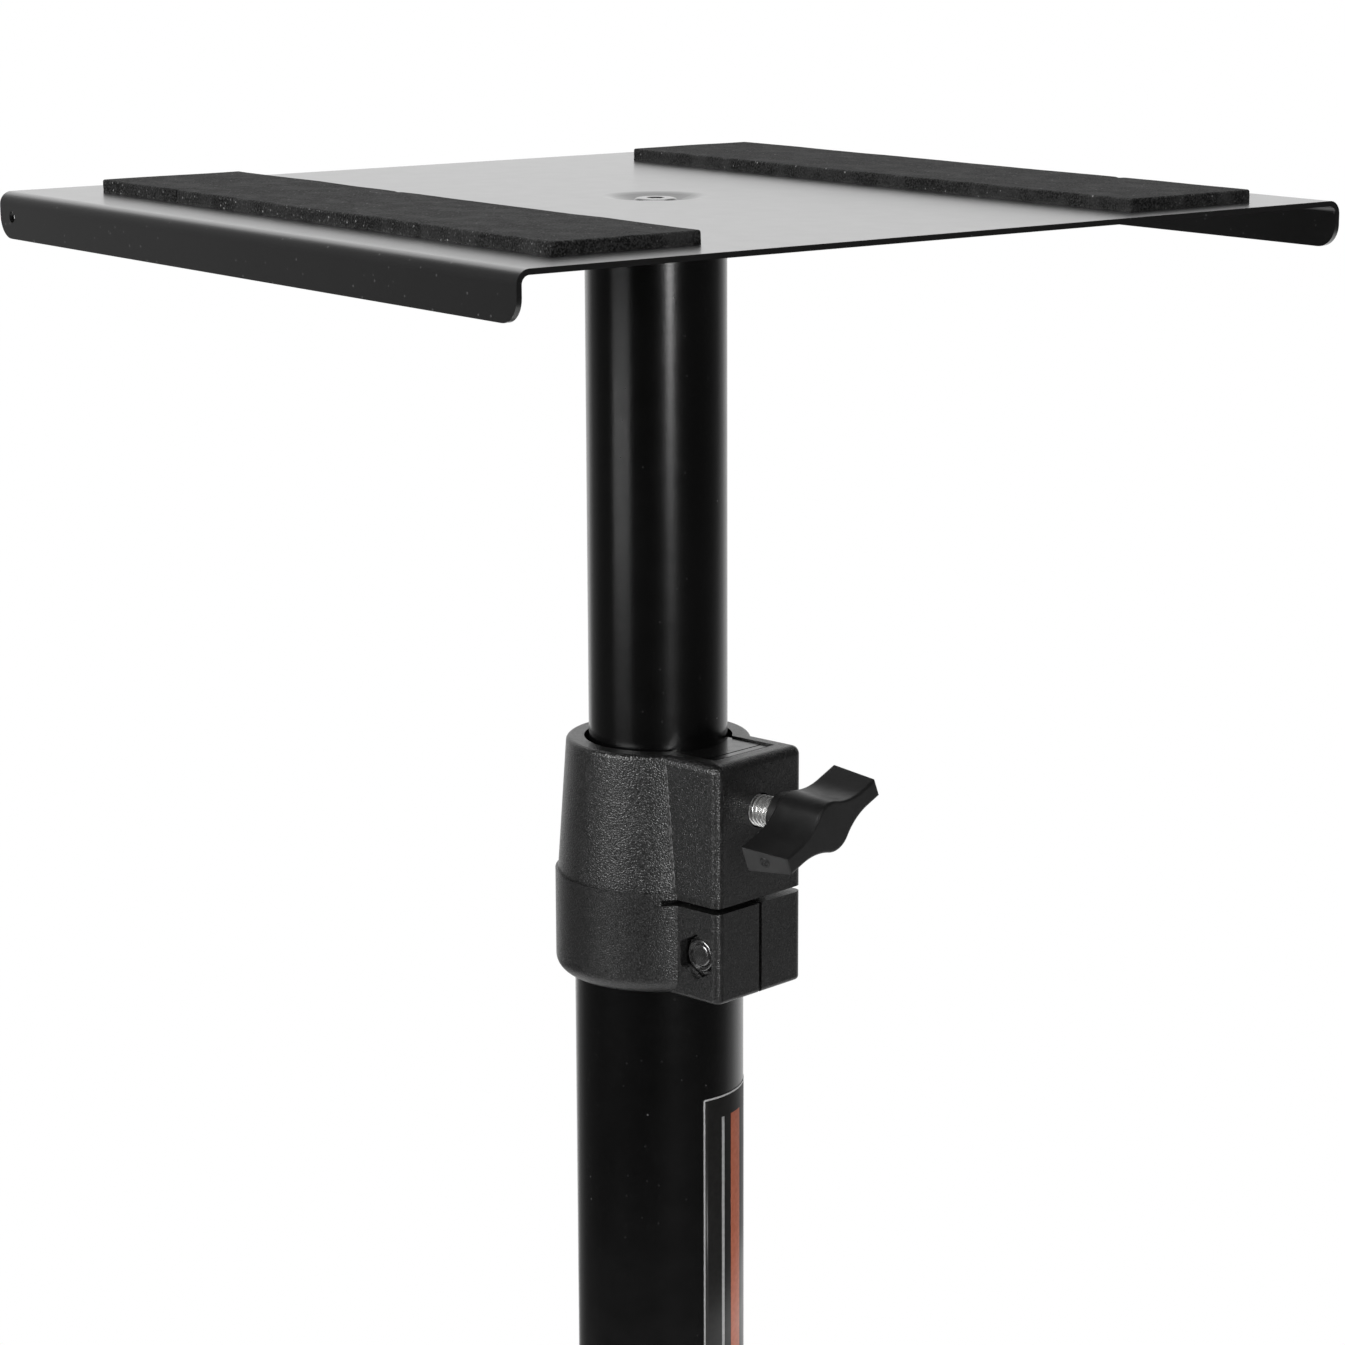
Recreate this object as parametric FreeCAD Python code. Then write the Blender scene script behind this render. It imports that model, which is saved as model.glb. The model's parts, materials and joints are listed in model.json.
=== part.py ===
import FreeCAD, Part
import math
import os

# Studio monitor stand: a padded tray on a telescopic mast, a moulded clamp collar and a folding tripod.
# Sizes are in millimetres. +Z is up, -Y is the front, and the origin is on the floor under the mast.
# Collars and hubs are drawn with their own +X pointing outward, then turned to their heading.

# Least wall left beside a rounded edge, and the slack in telling heights and radii apart
ROUND_MARGIN = 0.5
NEAR = 0.01

# Tray
TRAY_HEIGHT = 930.0
TRAY_WIDTH = 238.6
TRAY_DEPTH = 226.7
TRAY_SHEET = 1.3
FLANGE_DROP = 11.3
FLANGE_BEND = 3.2
FLANGE_CORNER = 5.5
HANG_HOLE_DIAMETER = 2.8
HANG_HOLE_INSET = 6.25
HANG_HOLE_DROP = 5.9
DISH_FLAT_DIAMETER = 11.6
DISH_SLOPE_WIDTH = 6.2
DISH_DEPTH = 2.0
DISH_RIM_ROUND = 8.0

# Foam strips: distances from the tray's edges
PAD_THICKNESS = 3.2
PAD_WIDTH = 39.0
LEFT_PAD_SIDE = 19.2
LEFT_PAD_REAR = 18.0
LEFT_PAD_FRONT = 15.0
RIGHT_PAD_SIDE = 20.8
RIGHT_PAD_REAR = 23.0
RIGHT_PAD_FRONT = 9.4

# Tray fixing
TRAY_SCREW_DIAMETER = 6.0
TRAY_SCREW_HEAD = 10.8
TRAY_SCREW_HEAD_HEIGHT = 1.6
TRAY_SCREW_HEAD_ROUND = 1.1
TRAY_SCREW_GRIP = 16.0
TRAY_SCREW_SOCKET = 4.0
TRAY_SCREW_SOCKET_DEPTH = 1.0
TRAY_PLUG_LENGTH = 22.0

# Mast tubes
INNER_TUBE_DIAMETER = 35.0
INNER_TUBE_WALL = 1.5
INNER_TUBE_LENGTH = 650.0
OUTER_TUBE_WALL = 1.5
BUSH_WALL = 2.35
BUSH_LENGTH = 55.0
BUSH_LIP_WIDTH = 4.5
BUSH_LIP_THICKNESS = 3.0
SWIVEL_GAP = 0.05
SLIDE_GAP = 0.1

# Clamp collar, from its top down
COLLAR_DROP = 135.0
COLLAR_HEADING = -80.1
POCKET_DEPTH = 26.0
SHELF_THICKNESS = 10.0
SLIT_WIDTH = 1.5
EAR_HEIGHT = 23.2
SEAT_RISE = 6.0
PARTING_RISE = 1.6
PARTING_STEP = 0.7
COLLAR_RIM_WALL = 4.5
COLLAR_EAR_WALL = 4.75
COLLAR_GUIDE_GAP = 1.2
COLLAR_FIT = 0.05
COLLAR_RIM_ROUND = 1.3
COLLAR_FOOT_ROUND = 4.0
BOSS_ROUND = 2.2
BOSS_FOOT_ROUND = 1.0
BOSS_WALL = 5.2
BOSS_SIDE_WALL = 4.6
SPLIT_WIDTH = 1.0
SLIT_BACK = 3.1

# Pressure shoe, its thrust plate and the square tapped insert behind the boss wall
SHOE_GAP = 0.1
SHOE_THICKNESS = 6.55
SHOE_SLACK = 1.35
SHOE_WIDTH = 21.6
SHOE_SIDE_GAP = 0.3
SHOE_TOP_DROP = 0.5
SHOE_FLANGE_GAP = 0.4
SHOE_FLANGE_SLACK = 1.6
SHOE_GROOVE_WIDTH = 0.5
SHOE_GROOVE_DEPTH = 0.4
SHOE_GROOVE_SETBACK = 2.6
PLATE_DIAMETER = 10.0
PLATE_THICKNESS = 2.0
PLATE_FIT = 0.05
INSERT_SIDE = 13.0
INSERT_THICKNESS = 4.0
INSERT_SIDE_GAP = 0.1
INSERT_TOP_GAP = 0.8

# Ear bolt
EAR_BOLT_DIAMETER = 6.0
EAR_BOLT_COVER = 2.6
EAR_BOLT_RISE = 11.2
BOLT_HOLE_GAP = 0.15
CAP_HEAD_DIAMETER = 10.0
CAP_HEAD_HEIGHT = 6.0
CAP_SOCKET = 5.0
CAP_SOCKET_DEPTH = 3.0
HEAD_POCKET_GAP = 0.5
NUT_RECESS = 1.5
EAR_BOLT_SHORT = 0.2

# Locknuts and hexagon bolts of the same thread
NUT_FLATS = 10.0
NUT_HEIGHT = 4.6
NUT_CORNER_SHARE = 0.97
NUT_CORNER_ROUND = 0.9
NUT_RING_DIAMETER = 8.4
NUT_RING_HEIGHT = 1.4
NUT_RING_ROUND = 0.6
NUT_RING_LIP = 0.7
NUT_RING_HOLLOW = 0.8
NUT_POCKET_GAP = 0.2
BOLT_END = 0.8
BOLT_END_ROUND = 0.8
PIVOT_BOLT_DIAMETER = 6.0
PIVOT_HEAD_HEIGHT = 4.0
PIVOT_GAP = 0.08
WASHER_GAP = 0.2

# Wing knobs
STUD_DIAMETER = 8.0
STUD_GAP = 0.08
STUD_WALL_GAP = 0.4
STUD_DROP = 13.7
STUD_SHOWN = 7.0
STUD_IN_KNOB = 12.0
KNOB_NECK_LENGTH = 2.8
KNOB_NECK_DIAMETER = 12.0
KNOB_DEPTH = 14.0
KNOB_HUB_DIAMETER = 12.8
KNOB_HUB_DRAFT = 0.8
KNOB_SPAN = 35.4
KNOB_SPAN_DRAFT = 1.7
KNOB_WING = 4.6
KNOB_WING_DRAFT = 2.4
KNOB_BLEND = 16.0
KNOB_EDGE_ROUND = 0.6
KNOB_TILT = 22.5

# Tripod
LEG_HEADINGS = (90.0, 210.0, 330.0)
LOCK_HEADING = 270.0
LEG_REST_ANGLE = 56.0
LEG_LENGTH = 370.0
LEG_DIAMETER = 22.0
LEG_WALL = 1.5
LEG_OVERHANG = 11.0
LEG_SIDE_GAP = 0.4
LEG_SWING_GAP = 2.0
LEG_PLUG_FLANGE = 2.0
LEG_PLUG_SPIGOT = 5.0
BRACE_REACH = 130.0

# Rubber feet
FOOT_WALL = 3.0
FOOT_GRIP = 32.0
FOOT_TOE = 16.0
FOOT_SOLE = 3.5
FOOT_TOE_ROUND = 5.0
FOOT_RIM_CHAMFER = 1.0

# Leg collar
LEG_COLLAR_WALL = 5.4
LEG_COLLAR_ABOVE = 24.0
LEG_COLLAR_BELOW = 22.0
LEG_COLLAR_ROUND = 2.5
FORK_WALL = 5.0
FORK_TIP_DIAMETER = 22.0
FORK_ROOT_HALF = 19.0
LOCK_PAD_THICKNESS = 4.5
LOCK_PAD_DIAMETER = 10.0
LOCK_PAD_GAP = 0.3
LOCK_PAD_SLACK = 2.0
LOCK_INSERT_DIAMETER = 12.0
LOCK_INSERT_LENGTH = 6.5
LOCK_LIP = 1.5
LOCK_BOSS_WALL = 6.0
LOCK_BOSS_ROUND = 3.0

# Braces and hub
STRAP_WIDTH = 16.0
STRAP_THICKNESS = 2.0
STRAP_GAP = 0.2
RIVET_DIAMETER = 6.0
RIVET_HEAD_DIAMETER = 11.0
RIVET_HEAD_HEIGHT = 2.5
HUB_WALL = 5.5
HUB_ABOVE = 18.0
HUB_BELOW = 16.0
HUB_FLOOR = 3.0
HUB_ROUND = 3.0
HUB_STRAP_GAP = 0.5
TONGUE_TIP_DIAMETER = 15.0
TONGUE_ROOT_HALF = 12.0
HUB_SCREW_DIAMETER = 5.0
HUB_SCREW_HEAD = 9.0
HUB_SCREW_HEAD_HEIGHT = 2.5
HUB_SPOT_DEPTH = 0.6
HUB_SCREW_HEADINGS = (30.0, 150.0, 270.0)

# Mast radii and heights that follow from the sizes above
INNER_RADIUS = INNER_TUBE_DIAMETER / 2
BUSH_BORE = INNER_RADIUS + SWIVEL_GAP
BUSH_RADIUS = BUSH_BORE + BUSH_WALL
OUTER_BORE = BUSH_RADIUS + SLIDE_GAP
OUTER_RADIUS = OUTER_BORE + OUTER_TUBE_WALL
INNER_TOP = TRAY_HEIGHT - TRAY_SHEET
INNER_BOTTOM = INNER_TOP - INNER_TUBE_LENGTH
DISH_RADIUS = DISH_FLAT_DIAMETER / 2 + DISH_SLOPE_WIDTH
DISH_FLOOR = TRAY_HEIGHT - DISH_DEPTH

# Clamp collar
COLLAR_TOP = TRAY_HEIGHT - COLLAR_DROP
POCKET_FLOOR = COLLAR_TOP - POCKET_DEPTH
SLIT_TOP = POCKET_FLOOR - SHELF_THICKNESS
SLIT_BOTTOM = SLIT_TOP - SLIT_WIDTH
COLLAR_BOTTOM = SLIT_BOTTOM - EAR_HEIGHT
COLLAR_SEAT = SLIT_TOP + SEAT_RISE
PARTING = SLIT_TOP + PARTING_RISE
GUIDE_RADIUS = INNER_RADIUS + COLLAR_GUIDE_GAP
RIM_RADIUS = GUIDE_RADIUS + COLLAR_RIM_WALL
EAR_BORE = OUTER_RADIUS + COLLAR_FIT
EAR_RADIUS = EAR_BORE + COLLAR_EAR_WALL
SHOE_OUTER = INNER_RADIUS + SHOE_THICKNESS
INSERT_INNER = SHOE_OUTER + SHOE_SLACK
POCKET_END = INSERT_INNER + INSERT_THICKNESS
BOSS_FACE = POCKET_END + BOSS_WALL
POCKET_HALF = SHOE_WIDTH / 2 + SHOE_SIDE_GAP
BOSS_HALF = POCKET_HALF + BOSS_SIDE_WALL
STUD_HEIGHT = COLLAR_TOP - STUD_DROP
FLANGE_FLOOR = STUD_HEIGHT + INSERT_SIDE / 2 + INSERT_TOP_GAP
EAR_BOLT_X = EAR_BORE + EAR_BOLT_COVER + EAR_BOLT_DIAMETER / 2 + BOLT_HOLE_GAP
EAR_BOLT_HEIGHT = COLLAR_BOTTOM + EAR_BOLT_RISE
FULL_NUT = NUT_HEIGHT + NUT_RING_HEIGHT

# Tripod linkage: at rest the braces lie level
LEG_RADIUS = LEG_DIAMETER / 2
LEG_LEAN = math.radians(LEG_REST_ANGLE)
LEG_COLLAR_BORE = OUTER_RADIUS + SLIDE_GAP
LEG_COLLAR_RADIUS = LEG_COLLAR_BORE + LEG_COLLAR_WALL
LEG_SWING = math.hypot(LEG_OVERHANG + LEG_PLUG_FLANGE, LEG_RADIUS)
LEG_PIVOT_RADIUS = LEG_COLLAR_RADIUS + LEG_SWING + LEG_SWING_GAP
LEG_PIVOT_HEIGHT = LEG_LENGTH * math.cos(LEG_LEAN) + LEG_RADIUS * math.sin(LEG_LEAN) + FOOT_SOLE
HUB_RADIUS = OUTER_RADIUS + HUB_WALL
HUB_PIVOT_RADIUS = HUB_RADIUS + STRAP_WIDTH / 2 + HUB_STRAP_GAP
HUB_PIVOT_HEIGHT = LEG_PIVOT_HEIGHT - BRACE_REACH * math.cos(LEG_LEAN)
BRACE_LENGTH = LEG_PIVOT_RADIUS - HUB_PIVOT_RADIUS + BRACE_REACH * math.sin(LEG_LEAN)
OUTER_BOTTOM = HUB_PIVOT_HEIGHT - HUB_BELOW + HUB_FLOOR
FORK_INNER = LEG_RADIUS + LEG_SIDE_GAP
FORK_OUTER = FORK_INNER + FORK_WALL
STRAP_INNER = FORK_INNER
STRAP_OUTER = STRAP_INNER + STRAP_THICKNESS
TONGUE_HALF = STRAP_INNER - STRAP_GAP
LOCK_PAD_OUTER = OUTER_RADIUS + LOCK_PAD_THICKNESS
LOCK_INSERT_INNER = LOCK_PAD_OUTER + LOCK_PAD_SLACK
LOCK_INSERT_OUTER = LOCK_INSERT_INNER + LOCK_INSERT_LENGTH
LOCK_FACE = LOCK_INSERT_OUTER + LOCK_LIP
LOCK_BOSS_HALF = LOCK_INSERT_DIAMETER / 2 + LOCK_BOSS_WALL

ORIGIN = FreeCAD.Vector(0, 0, 0)
ALONG_X = FreeCAD.Vector(1, 0, 0)
ALONG_Y = FreeCAD.Vector(0, 1, 0)
ALONG_Z = FreeCAD.Vector(0, 0, 1)


def upright(radius, low, high):
    """Cylinder about the mast axis."""
    return Part.makeCylinder(radius, high - low, FreeCAD.Vector(0, 0, low))


def sleeve(outer, inner, low, high):
    """Tube about the mast axis."""
    return upright(outer, low, high).cut(upright(inner, low, high))


def outward(radius, near, far, height):
    """Cylinder along the local X axis."""
    return Part.makeCylinder(radius, far - near, FreeCAD.Vector(near, 0, height), ALONG_X)


def crosswise(radius, x, height, left, right):
    """Cylinder along the local Y axis."""
    return Part.makeCylinder(radius, right - left, FreeCAD.Vector(x, left, height), ALONG_Y)


def block(near, far, half_width, low, high):
    """Upright box, symmetrical about the local XZ plane."""
    corner = FreeCAD.Vector(near, -half_width, low)
    return Part.makeBox(far - near, 2 * half_width, high - low, corner)


def hexagon(flats, x, height, left, right):
    """Hexagonal prism along the local Y axis, with a corner on top."""
    radius = flats / math.sqrt(3)
    corners = []
    for turn in range(7):
        angle = math.radians(60 * turn)
        corners.append(FreeCAD.Vector(x + radius * math.sin(angle), left, height + radius * math.cos(angle)))
    return Part.Face(Part.makePolygon(corners)).extrude(ALONG_Y * (right - left))


def revolved(points):
    """Solid turned about the mast axis from (radius, height) points."""
    corners = [FreeCAD.Vector(radius, 0, height) for radius, height in points]
    face = Part.Face(Part.makePolygon(corners + corners[:1]))
    return face.revolve(ORIGIN, ALONG_Z, 360)


def line(start, end):
    return Part.LineSegment(start, end).toShape()


def arc(start, middle, end):
    return Part.Arc(start, middle, end).toShape()


def rounded(shape, radius, wanted):
    """Fillet the edges that the test picks."""
    return shape.makeFillet(radius, [edge for edge in shape.Edges if wanted(edge)])


def level_circle(height, radius):
    """Test for a level circular edge of this height and radius."""

    def wanted(edge):
        if not isinstance(edge.Curve, Part.Circle):
            return False
        middle = edge.Curve.Center
        return abs(middle.z - height) < NEAR and abs(edge.Curve.Radius - radius) < NEAR

    return wanted


def turned(shape, heading):
    """Copy turned about the mast axis."""
    copy = shape.copy()
    copy.rotate(ORIGIN, ALONG_Z, heading)
    return copy


def lug(root_half, tip_x, height, tip_radius, left, right):
    """Plate in the XZ plane whose edges run from a root on the mast axis tangent to a round tip."""
    span = math.hypot(tip_x, root_half)
    angle = math.atan2(root_half, -tip_x) - math.acos(tip_radius / span)
    touch_x = tip_x + tip_radius * math.cos(angle)
    touch_rise = tip_radius * math.sin(angle)
    root_low = FreeCAD.Vector(0, left, height - root_half)
    root_high = FreeCAD.Vector(0, left, height + root_half)
    touch_low = FreeCAD.Vector(touch_x, left, height - touch_rise)
    touch_high = FreeCAD.Vector(touch_x, left, height + touch_rise)
    tip = FreeCAD.Vector(tip_x + tip_radius, left, height)
    edges = [line(root_low, root_high), line(root_high, touch_high)]
    edges += [arc(touch_high, tip, touch_low), line(touch_low, root_low)]
    return Part.Face(Part.Wire(edges)).extrude(ALONG_Y * (right - left))


def tray():
    """Sheet folded down along both sides, with a dish for the screw in its centre."""
    low = TRAY_HEIGHT - FLANGE_DROP
    half_depth = TRAY_DEPTH / 2
    corner = FreeCAD.Vector(-TRAY_WIDTH / 2, -half_depth, low)
    outside = Part.makeBox(TRAY_WIDTH, TRAY_DEPTH, FLANGE_DROP, corner)
    inner_corner = corner + ALONG_X * TRAY_SHEET
    inner_width = TRAY_WIDTH - 2 * TRAY_SHEET
    inside = Part.makeBox(inner_width, TRAY_DEPTH, FLANGE_DROP - TRAY_SHEET, inner_corner)

    def top_fold(edge):
        box = edge.BoundBox
        return box.YLength > half_depth and box.ZMax > low + FLANGE_DROP / 2

    folded = rounded(outside, FLANGE_BEND, top_fold).cut(rounded(inside, FLANGE_BEND - TRAY_SHEET, top_fold))

    def flange_corner(edge):
        box = edge.BoundBox
        return box.ZMax < low + NEAR and abs(abs(box.Center.y) - half_depth) < NEAR

    folded = rounded(folded, FLANGE_CORNER, flange_corner)
    hole_y = half_depth - HANG_HOLE_INSET
    hole_start = FreeCAD.Vector(-TRAY_WIDTH, hole_y, TRAY_HEIGHT - HANG_HOLE_DROP)
    hang_holes = Part.makeCylinder(HANG_HOLE_DIAMETER / 2, 2 * TRAY_WIDTH, hole_start, ALONG_X)
    opened = folded.cut(hang_holes).cut(upright(DISH_RADIUS, low, TRAY_HEIGHT))
    hole = TRAY_SCREW_DIAMETER / 2 + BOLT_HOLE_GAP
    flat = DISH_FLAT_DIAMETER / 2
    top_line = [(hole, DISH_FLOOR), (flat, DISH_FLOOR), (DISH_RADIUS, TRAY_HEIGHT)]
    under_line = [(radius, height - TRAY_SHEET) for radius, height in reversed(top_line)]
    dished = opened.fuse(revolved(top_line + under_line)).removeSplitter()
    return rounded(dished, DISH_RIM_ROUND, level_circle(TRAY_HEIGHT, DISH_RADIUS))


def foam_pad(side, inset, front, rear):
    """Foam strip on one side of the tray: side is -1 for the left, 1 for the right."""
    centre = side * (TRAY_WIDTH / 2 - inset - PAD_WIDTH / 2)
    corner = FreeCAD.Vector(centre - PAD_WIDTH / 2, front - TRAY_DEPTH / 2, TRAY_HEIGHT)
    return Part.makeBox(PAD_WIDTH, TRAY_DEPTH - front - rear, PAD_THICKNESS, corner)


def tray_screw():
    """Button-head screw that stands on the floor of the dish."""
    head_radius = TRAY_SCREW_HEAD / 2
    head_top = DISH_FLOOR + TRAY_SCREW_HEAD_HEIGHT
    head = upright(head_radius, DISH_FLOOR, head_top)
    head = rounded(head, TRAY_SCREW_HEAD_ROUND, level_circle(head_top, head_radius))
    shank = upright(TRAY_SCREW_DIAMETER / 2, DISH_FLOOR - TRAY_SHEET - TRAY_SCREW_GRIP, DISH_FLOOR)
    socket = hexagon(TRAY_SCREW_SOCKET, 0, 0, 0, TRAY_SCREW_SOCKET_DEPTH)
    socket.rotate(ORIGIN, ALONG_X, 90)
    socket.translate(FreeCAD.Vector(0, 0, head_top - TRAY_SCREW_SOCKET_DEPTH))
    return head.fuse(shank).removeSplitter().cut(socket)


def tray_plug():
    """Tapped plug in the top of the upper tube, under the dish."""
    top = DISH_FLOOR - TRAY_SHEET
    plug = upright(INNER_RADIUS - INNER_TUBE_WALL, top - TRAY_PLUG_LENGTH, top)
    return plug.cut(upright(TRAY_SCREW_DIAMETER / 2, top - TRAY_PLUG_LENGTH, top))


def inner_tube():
    return sleeve(INNER_RADIUS, INNER_RADIUS - INNER_TUBE_WALL, INNER_BOTTOM, INNER_TOP)


def guide_bush():
    """Cup on the lower end of the upper tube, which runs in the lower tube."""
    low = INNER_BOTTOM - BUSH_LIP_THICKNESS
    cup = sleeve(BUSH_RADIUS, BUSH_BORE - BUSH_LIP_WIDTH, low, low + BUSH_LENGTH)
    return cup.cut(upright(BUSH_BORE, INNER_BOTTOM, low + BUSH_LENGTH))


def outer_tube():
    """Lower tube, with holes for the hub's screws."""
    tube = sleeve(OUTER_RADIUS, OUTER_BORE, OUTER_BOTTOM, COLLAR_SEAT)
    for heading in HUB_SCREW_HEADINGS:
        hole = outward(HUB_SCREW_DIAMETER / 2, 0, OUTER_RADIUS + 1, HUB_PIVOT_HEIGHT)
        tube = tube.cut(turned(hole, heading))
    return tube


def collar_boss():
    """Block on the outer side of the collar, softly rounded on top and crisper below."""
    boss = block(0, BOSS_FACE, BOSS_HALF, COLLAR_BOTTOM, COLLAR_TOP)

    def upper(edge):
        return edge.BoundBox.XMax > NEAR and edge.BoundBox.ZMax > COLLAR_BOTTOM + NEAR

    def lower(edge):
        return edge.BoundBox.XMax > NEAR and edge.BoundBox.ZMax < COLLAR_BOTTOM + NEAR

    return rounded(rounded(boss, BOSS_ROUND, upper), BOSS_FOOT_ROUND, lower)


def clamp_collar():
    """Split collar: a guide for the upper tube over a pair of ears that grip the lower tube."""
    cone_radius = EAR_RADIUS - PARTING_STEP
    points = [(0, COLLAR_BOTTOM), (EAR_RADIUS, COLLAR_BOTTOM), (EAR_RADIUS, PARTING), (cone_radius, PARTING)]
    points += [(RIM_RADIUS, COLLAR_TOP), (0, COLLAR_TOP)]
    body = revolved(points)
    rim_round = min(COLLAR_RIM_ROUND, COLLAR_RIM_WALL - ROUND_MARGIN)
    foot_round = min(COLLAR_FOOT_ROUND, COLLAR_EAR_WALL - ROUND_MARGIN)
    body = rounded(body, rim_round, level_circle(COLLAR_TOP, RIM_RADIUS))
    body = rounded(body, foot_round, level_circle(COLLAR_BOTTOM, EAR_RADIUS))
    body = body.fuse(collar_boss()).removeSplitter()
    body = body.cut(upright(EAR_BORE, COLLAR_BOTTOM, COLLAR_SEAT))
    body = body.cut(upright(GUIDE_RADIUS, COLLAR_SEAT, COLLAR_TOP))
    beyond = BOSS_FACE + EAR_RADIUS
    slit_start = EAR_BORE - SLIT_BACK
    cuts = [block(0, INSERT_INNER, POCKET_HALF, POCKET_FLOOR, COLLAR_TOP)]
    cuts.append(block(0, POCKET_END, POCKET_HALF, FLANGE_FLOOR, COLLAR_TOP))
    slot_half = INSERT_SIDE / 2 + INSERT_SIDE_GAP
    cuts.append(block(0, POCKET_END, slot_half, STUD_HEIGHT - INSERT_SIDE / 2, COLLAR_TOP))
    cuts.append(block(slit_start, beyond, beyond, SLIT_BOTTOM, SLIT_TOP))
    cuts.append(block(0, beyond, SPLIT_WIDTH / 2, COLLAR_BOTTOM, SLIT_TOP))
    cuts.append(outward(STUD_DIAMETER / 2 + STUD_WALL_GAP, POCKET_END, BOSS_FACE, STUD_HEIGHT))
    hole_radius = EAR_BOLT_DIAMETER / 2 + BOLT_HOLE_GAP
    cuts.append(crosswise(hole_radius, EAR_BOLT_X, EAR_BOLT_HEIGHT, -BOSS_HALF, BOSS_HALF))
    nut_depth = FULL_NUT + NUT_RECESS
    nut_flats = NUT_FLATS + 2 * NUT_POCKET_GAP
    cuts.append(hexagon(nut_flats, EAR_BOLT_X, EAR_BOLT_HEIGHT, -BOSS_HALF, nut_depth - BOSS_HALF))
    head_radius = CAP_HEAD_DIAMETER / 2 + HEAD_POCKET_GAP
    cuts.append(crosswise(head_radius, EAR_BOLT_X, EAR_BOLT_HEIGHT, BOSS_HALF - CAP_HEAD_HEIGHT, BOSS_HALF))
    return turned(body.cut(Part.makeCompound(cuts)), COLLAR_HEADING)


def cross_circle(end):
    """Test for a circular edge that is square to the local Y axis, at this end."""

    def wanted(edge):
        return isinstance(edge.Curve, Part.Circle) and abs(edge.Curve.Center.y - end) < NEAR

    return wanted


def hex_head(x, height, left, right):
    """Hexagon head or nut along the local Y axis, with its corners turned round at both ends."""
    barrel = crosswise(NUT_FLATS / math.sqrt(3) * NUT_CORNER_SHARE, x, height, left, right)
    barrel = rounded(barrel, NUT_CORNER_ROUND, cross_circle(left))
    barrel = rounded(barrel, NUT_CORNER_ROUND, cross_circle(right))
    return hexagon(NUT_FLATS, x, height, left, right).common(barrel)


def shank(diameter, x, height, end, seat):
    """Bolt shank along the local Y axis from its rounded end to the seat of its head."""
    return rounded(crosswise(diameter / 2, x, height, end, seat), BOLT_END_ROUND, cross_circle(end))


def locknut(x, height, start, ring_side):
    """Hexagon nut with a rounded ring, hollow at its mouth, from a start on the Y axis towards ring_side."""
    seat = start + ring_side * NUT_HEIGHT
    end = seat + ring_side * NUT_RING_HEIGHT
    floor = end - ring_side * NUT_RING_HOLLOW
    ring = crosswise(NUT_RING_DIAMETER / 2, x, height, min(seat, end), max(seat, end))
    ring = rounded(ring, NUT_RING_ROUND, cross_circle(end))
    nut = hex_head(x, height, min(start, seat), max(start, seat)).fuse(ring)
    nut = nut.cut(crosswise(NUT_RING_DIAMETER / 2 - NUT_RING_LIP, x, height, min(floor, end), max(floor, end)))
    return nut.cut(crosswise(EAR_BOLT_DIAMETER / 2, x, height, min(start, end), max(start, end)))


def collar_bolt():
    """Cap screw across the ears, with its head on the +Y side."""
    seat = BOSS_HALF - CAP_HEAD_HEIGHT
    end = -BOSS_HALF + NUT_RECESS + EAR_BOLT_SHORT
    bolt = shank(EAR_BOLT_DIAMETER, EAR_BOLT_X, EAR_BOLT_HEIGHT, end, seat)
    bolt = bolt.fuse(crosswise(CAP_HEAD_DIAMETER / 2, EAR_BOLT_X, EAR_BOLT_HEIGHT, seat, BOSS_HALF))
    bolt = bolt.cut(hexagon(CAP_SOCKET, EAR_BOLT_X, EAR_BOLT_HEIGHT, BOSS_HALF - CAP_SOCKET_DEPTH, BOSS_HALF))
    return turned(bolt, COLLAR_HEADING)


def collar_nut():
    start = -BOSS_HALF + NUT_RECESS + FULL_NUT
    return turned(locknut(EAR_BOLT_X, EAR_BOLT_HEIGHT, start, -1), COLLAR_HEADING)


def collar_insert():
    """Square tapped plate, dropped into its slot behind the boss wall."""
    half = INSERT_SIDE / 2
    plate = block(INSERT_INNER, POCKET_END, half, STUD_HEIGHT - half, STUD_HEIGHT + half)
    thread = outward(STUD_DIAMETER / 2 + STUD_GAP, INSERT_INNER, POCKET_END, STUD_HEIGHT)
    return turned(plate.cut(thread), COLLAR_HEADING)


def clamp_shoe():
    """Pressure shoe, hollowed to the upper tube, with a flange that covers the insert."""
    half = SHOE_WIDTH / 2
    top = COLLAR_TOP - SHOE_TOP_DROP
    flange_end = POCKET_END - SHOE_FLANGE_SLACK
    shoe = block(0, SHOE_OUTER, half, POCKET_FLOOR, top)
    shoe = shoe.fuse(block(0, flange_end, half, FLANGE_FLOOR + SHOE_FLANGE_GAP, top)).removeSplitter()
    groove = flange_end - SHOE_GROOVE_SETBACK
    cuts = [upright(INNER_RADIUS + SHOE_GAP, POCKET_FLOOR, COLLAR_TOP)]
    cuts.append(block(groove, groove + SHOE_GROOVE_WIDTH, half, top - SHOE_GROOVE_DEPTH, top))
    plate_seat = PLATE_DIAMETER / 2 + PLATE_FIT
    cuts.append(outward(plate_seat, SHOE_OUTER - PLATE_THICKNESS, SHOE_OUTER, STUD_HEIGHT))
    return turned(shoe.cut(Part.makeCompound(cuts)), COLLAR_HEADING)


def thrust_plate():
    """Round plate set into the back of the shoe, where the stud presses."""
    plate = outward(PLATE_DIAMETER / 2, SHOE_OUTER - PLATE_THICKNESS, SHOE_OUTER, STUD_HEIGHT)
    return turned(plate, COLLAR_HEADING)


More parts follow.
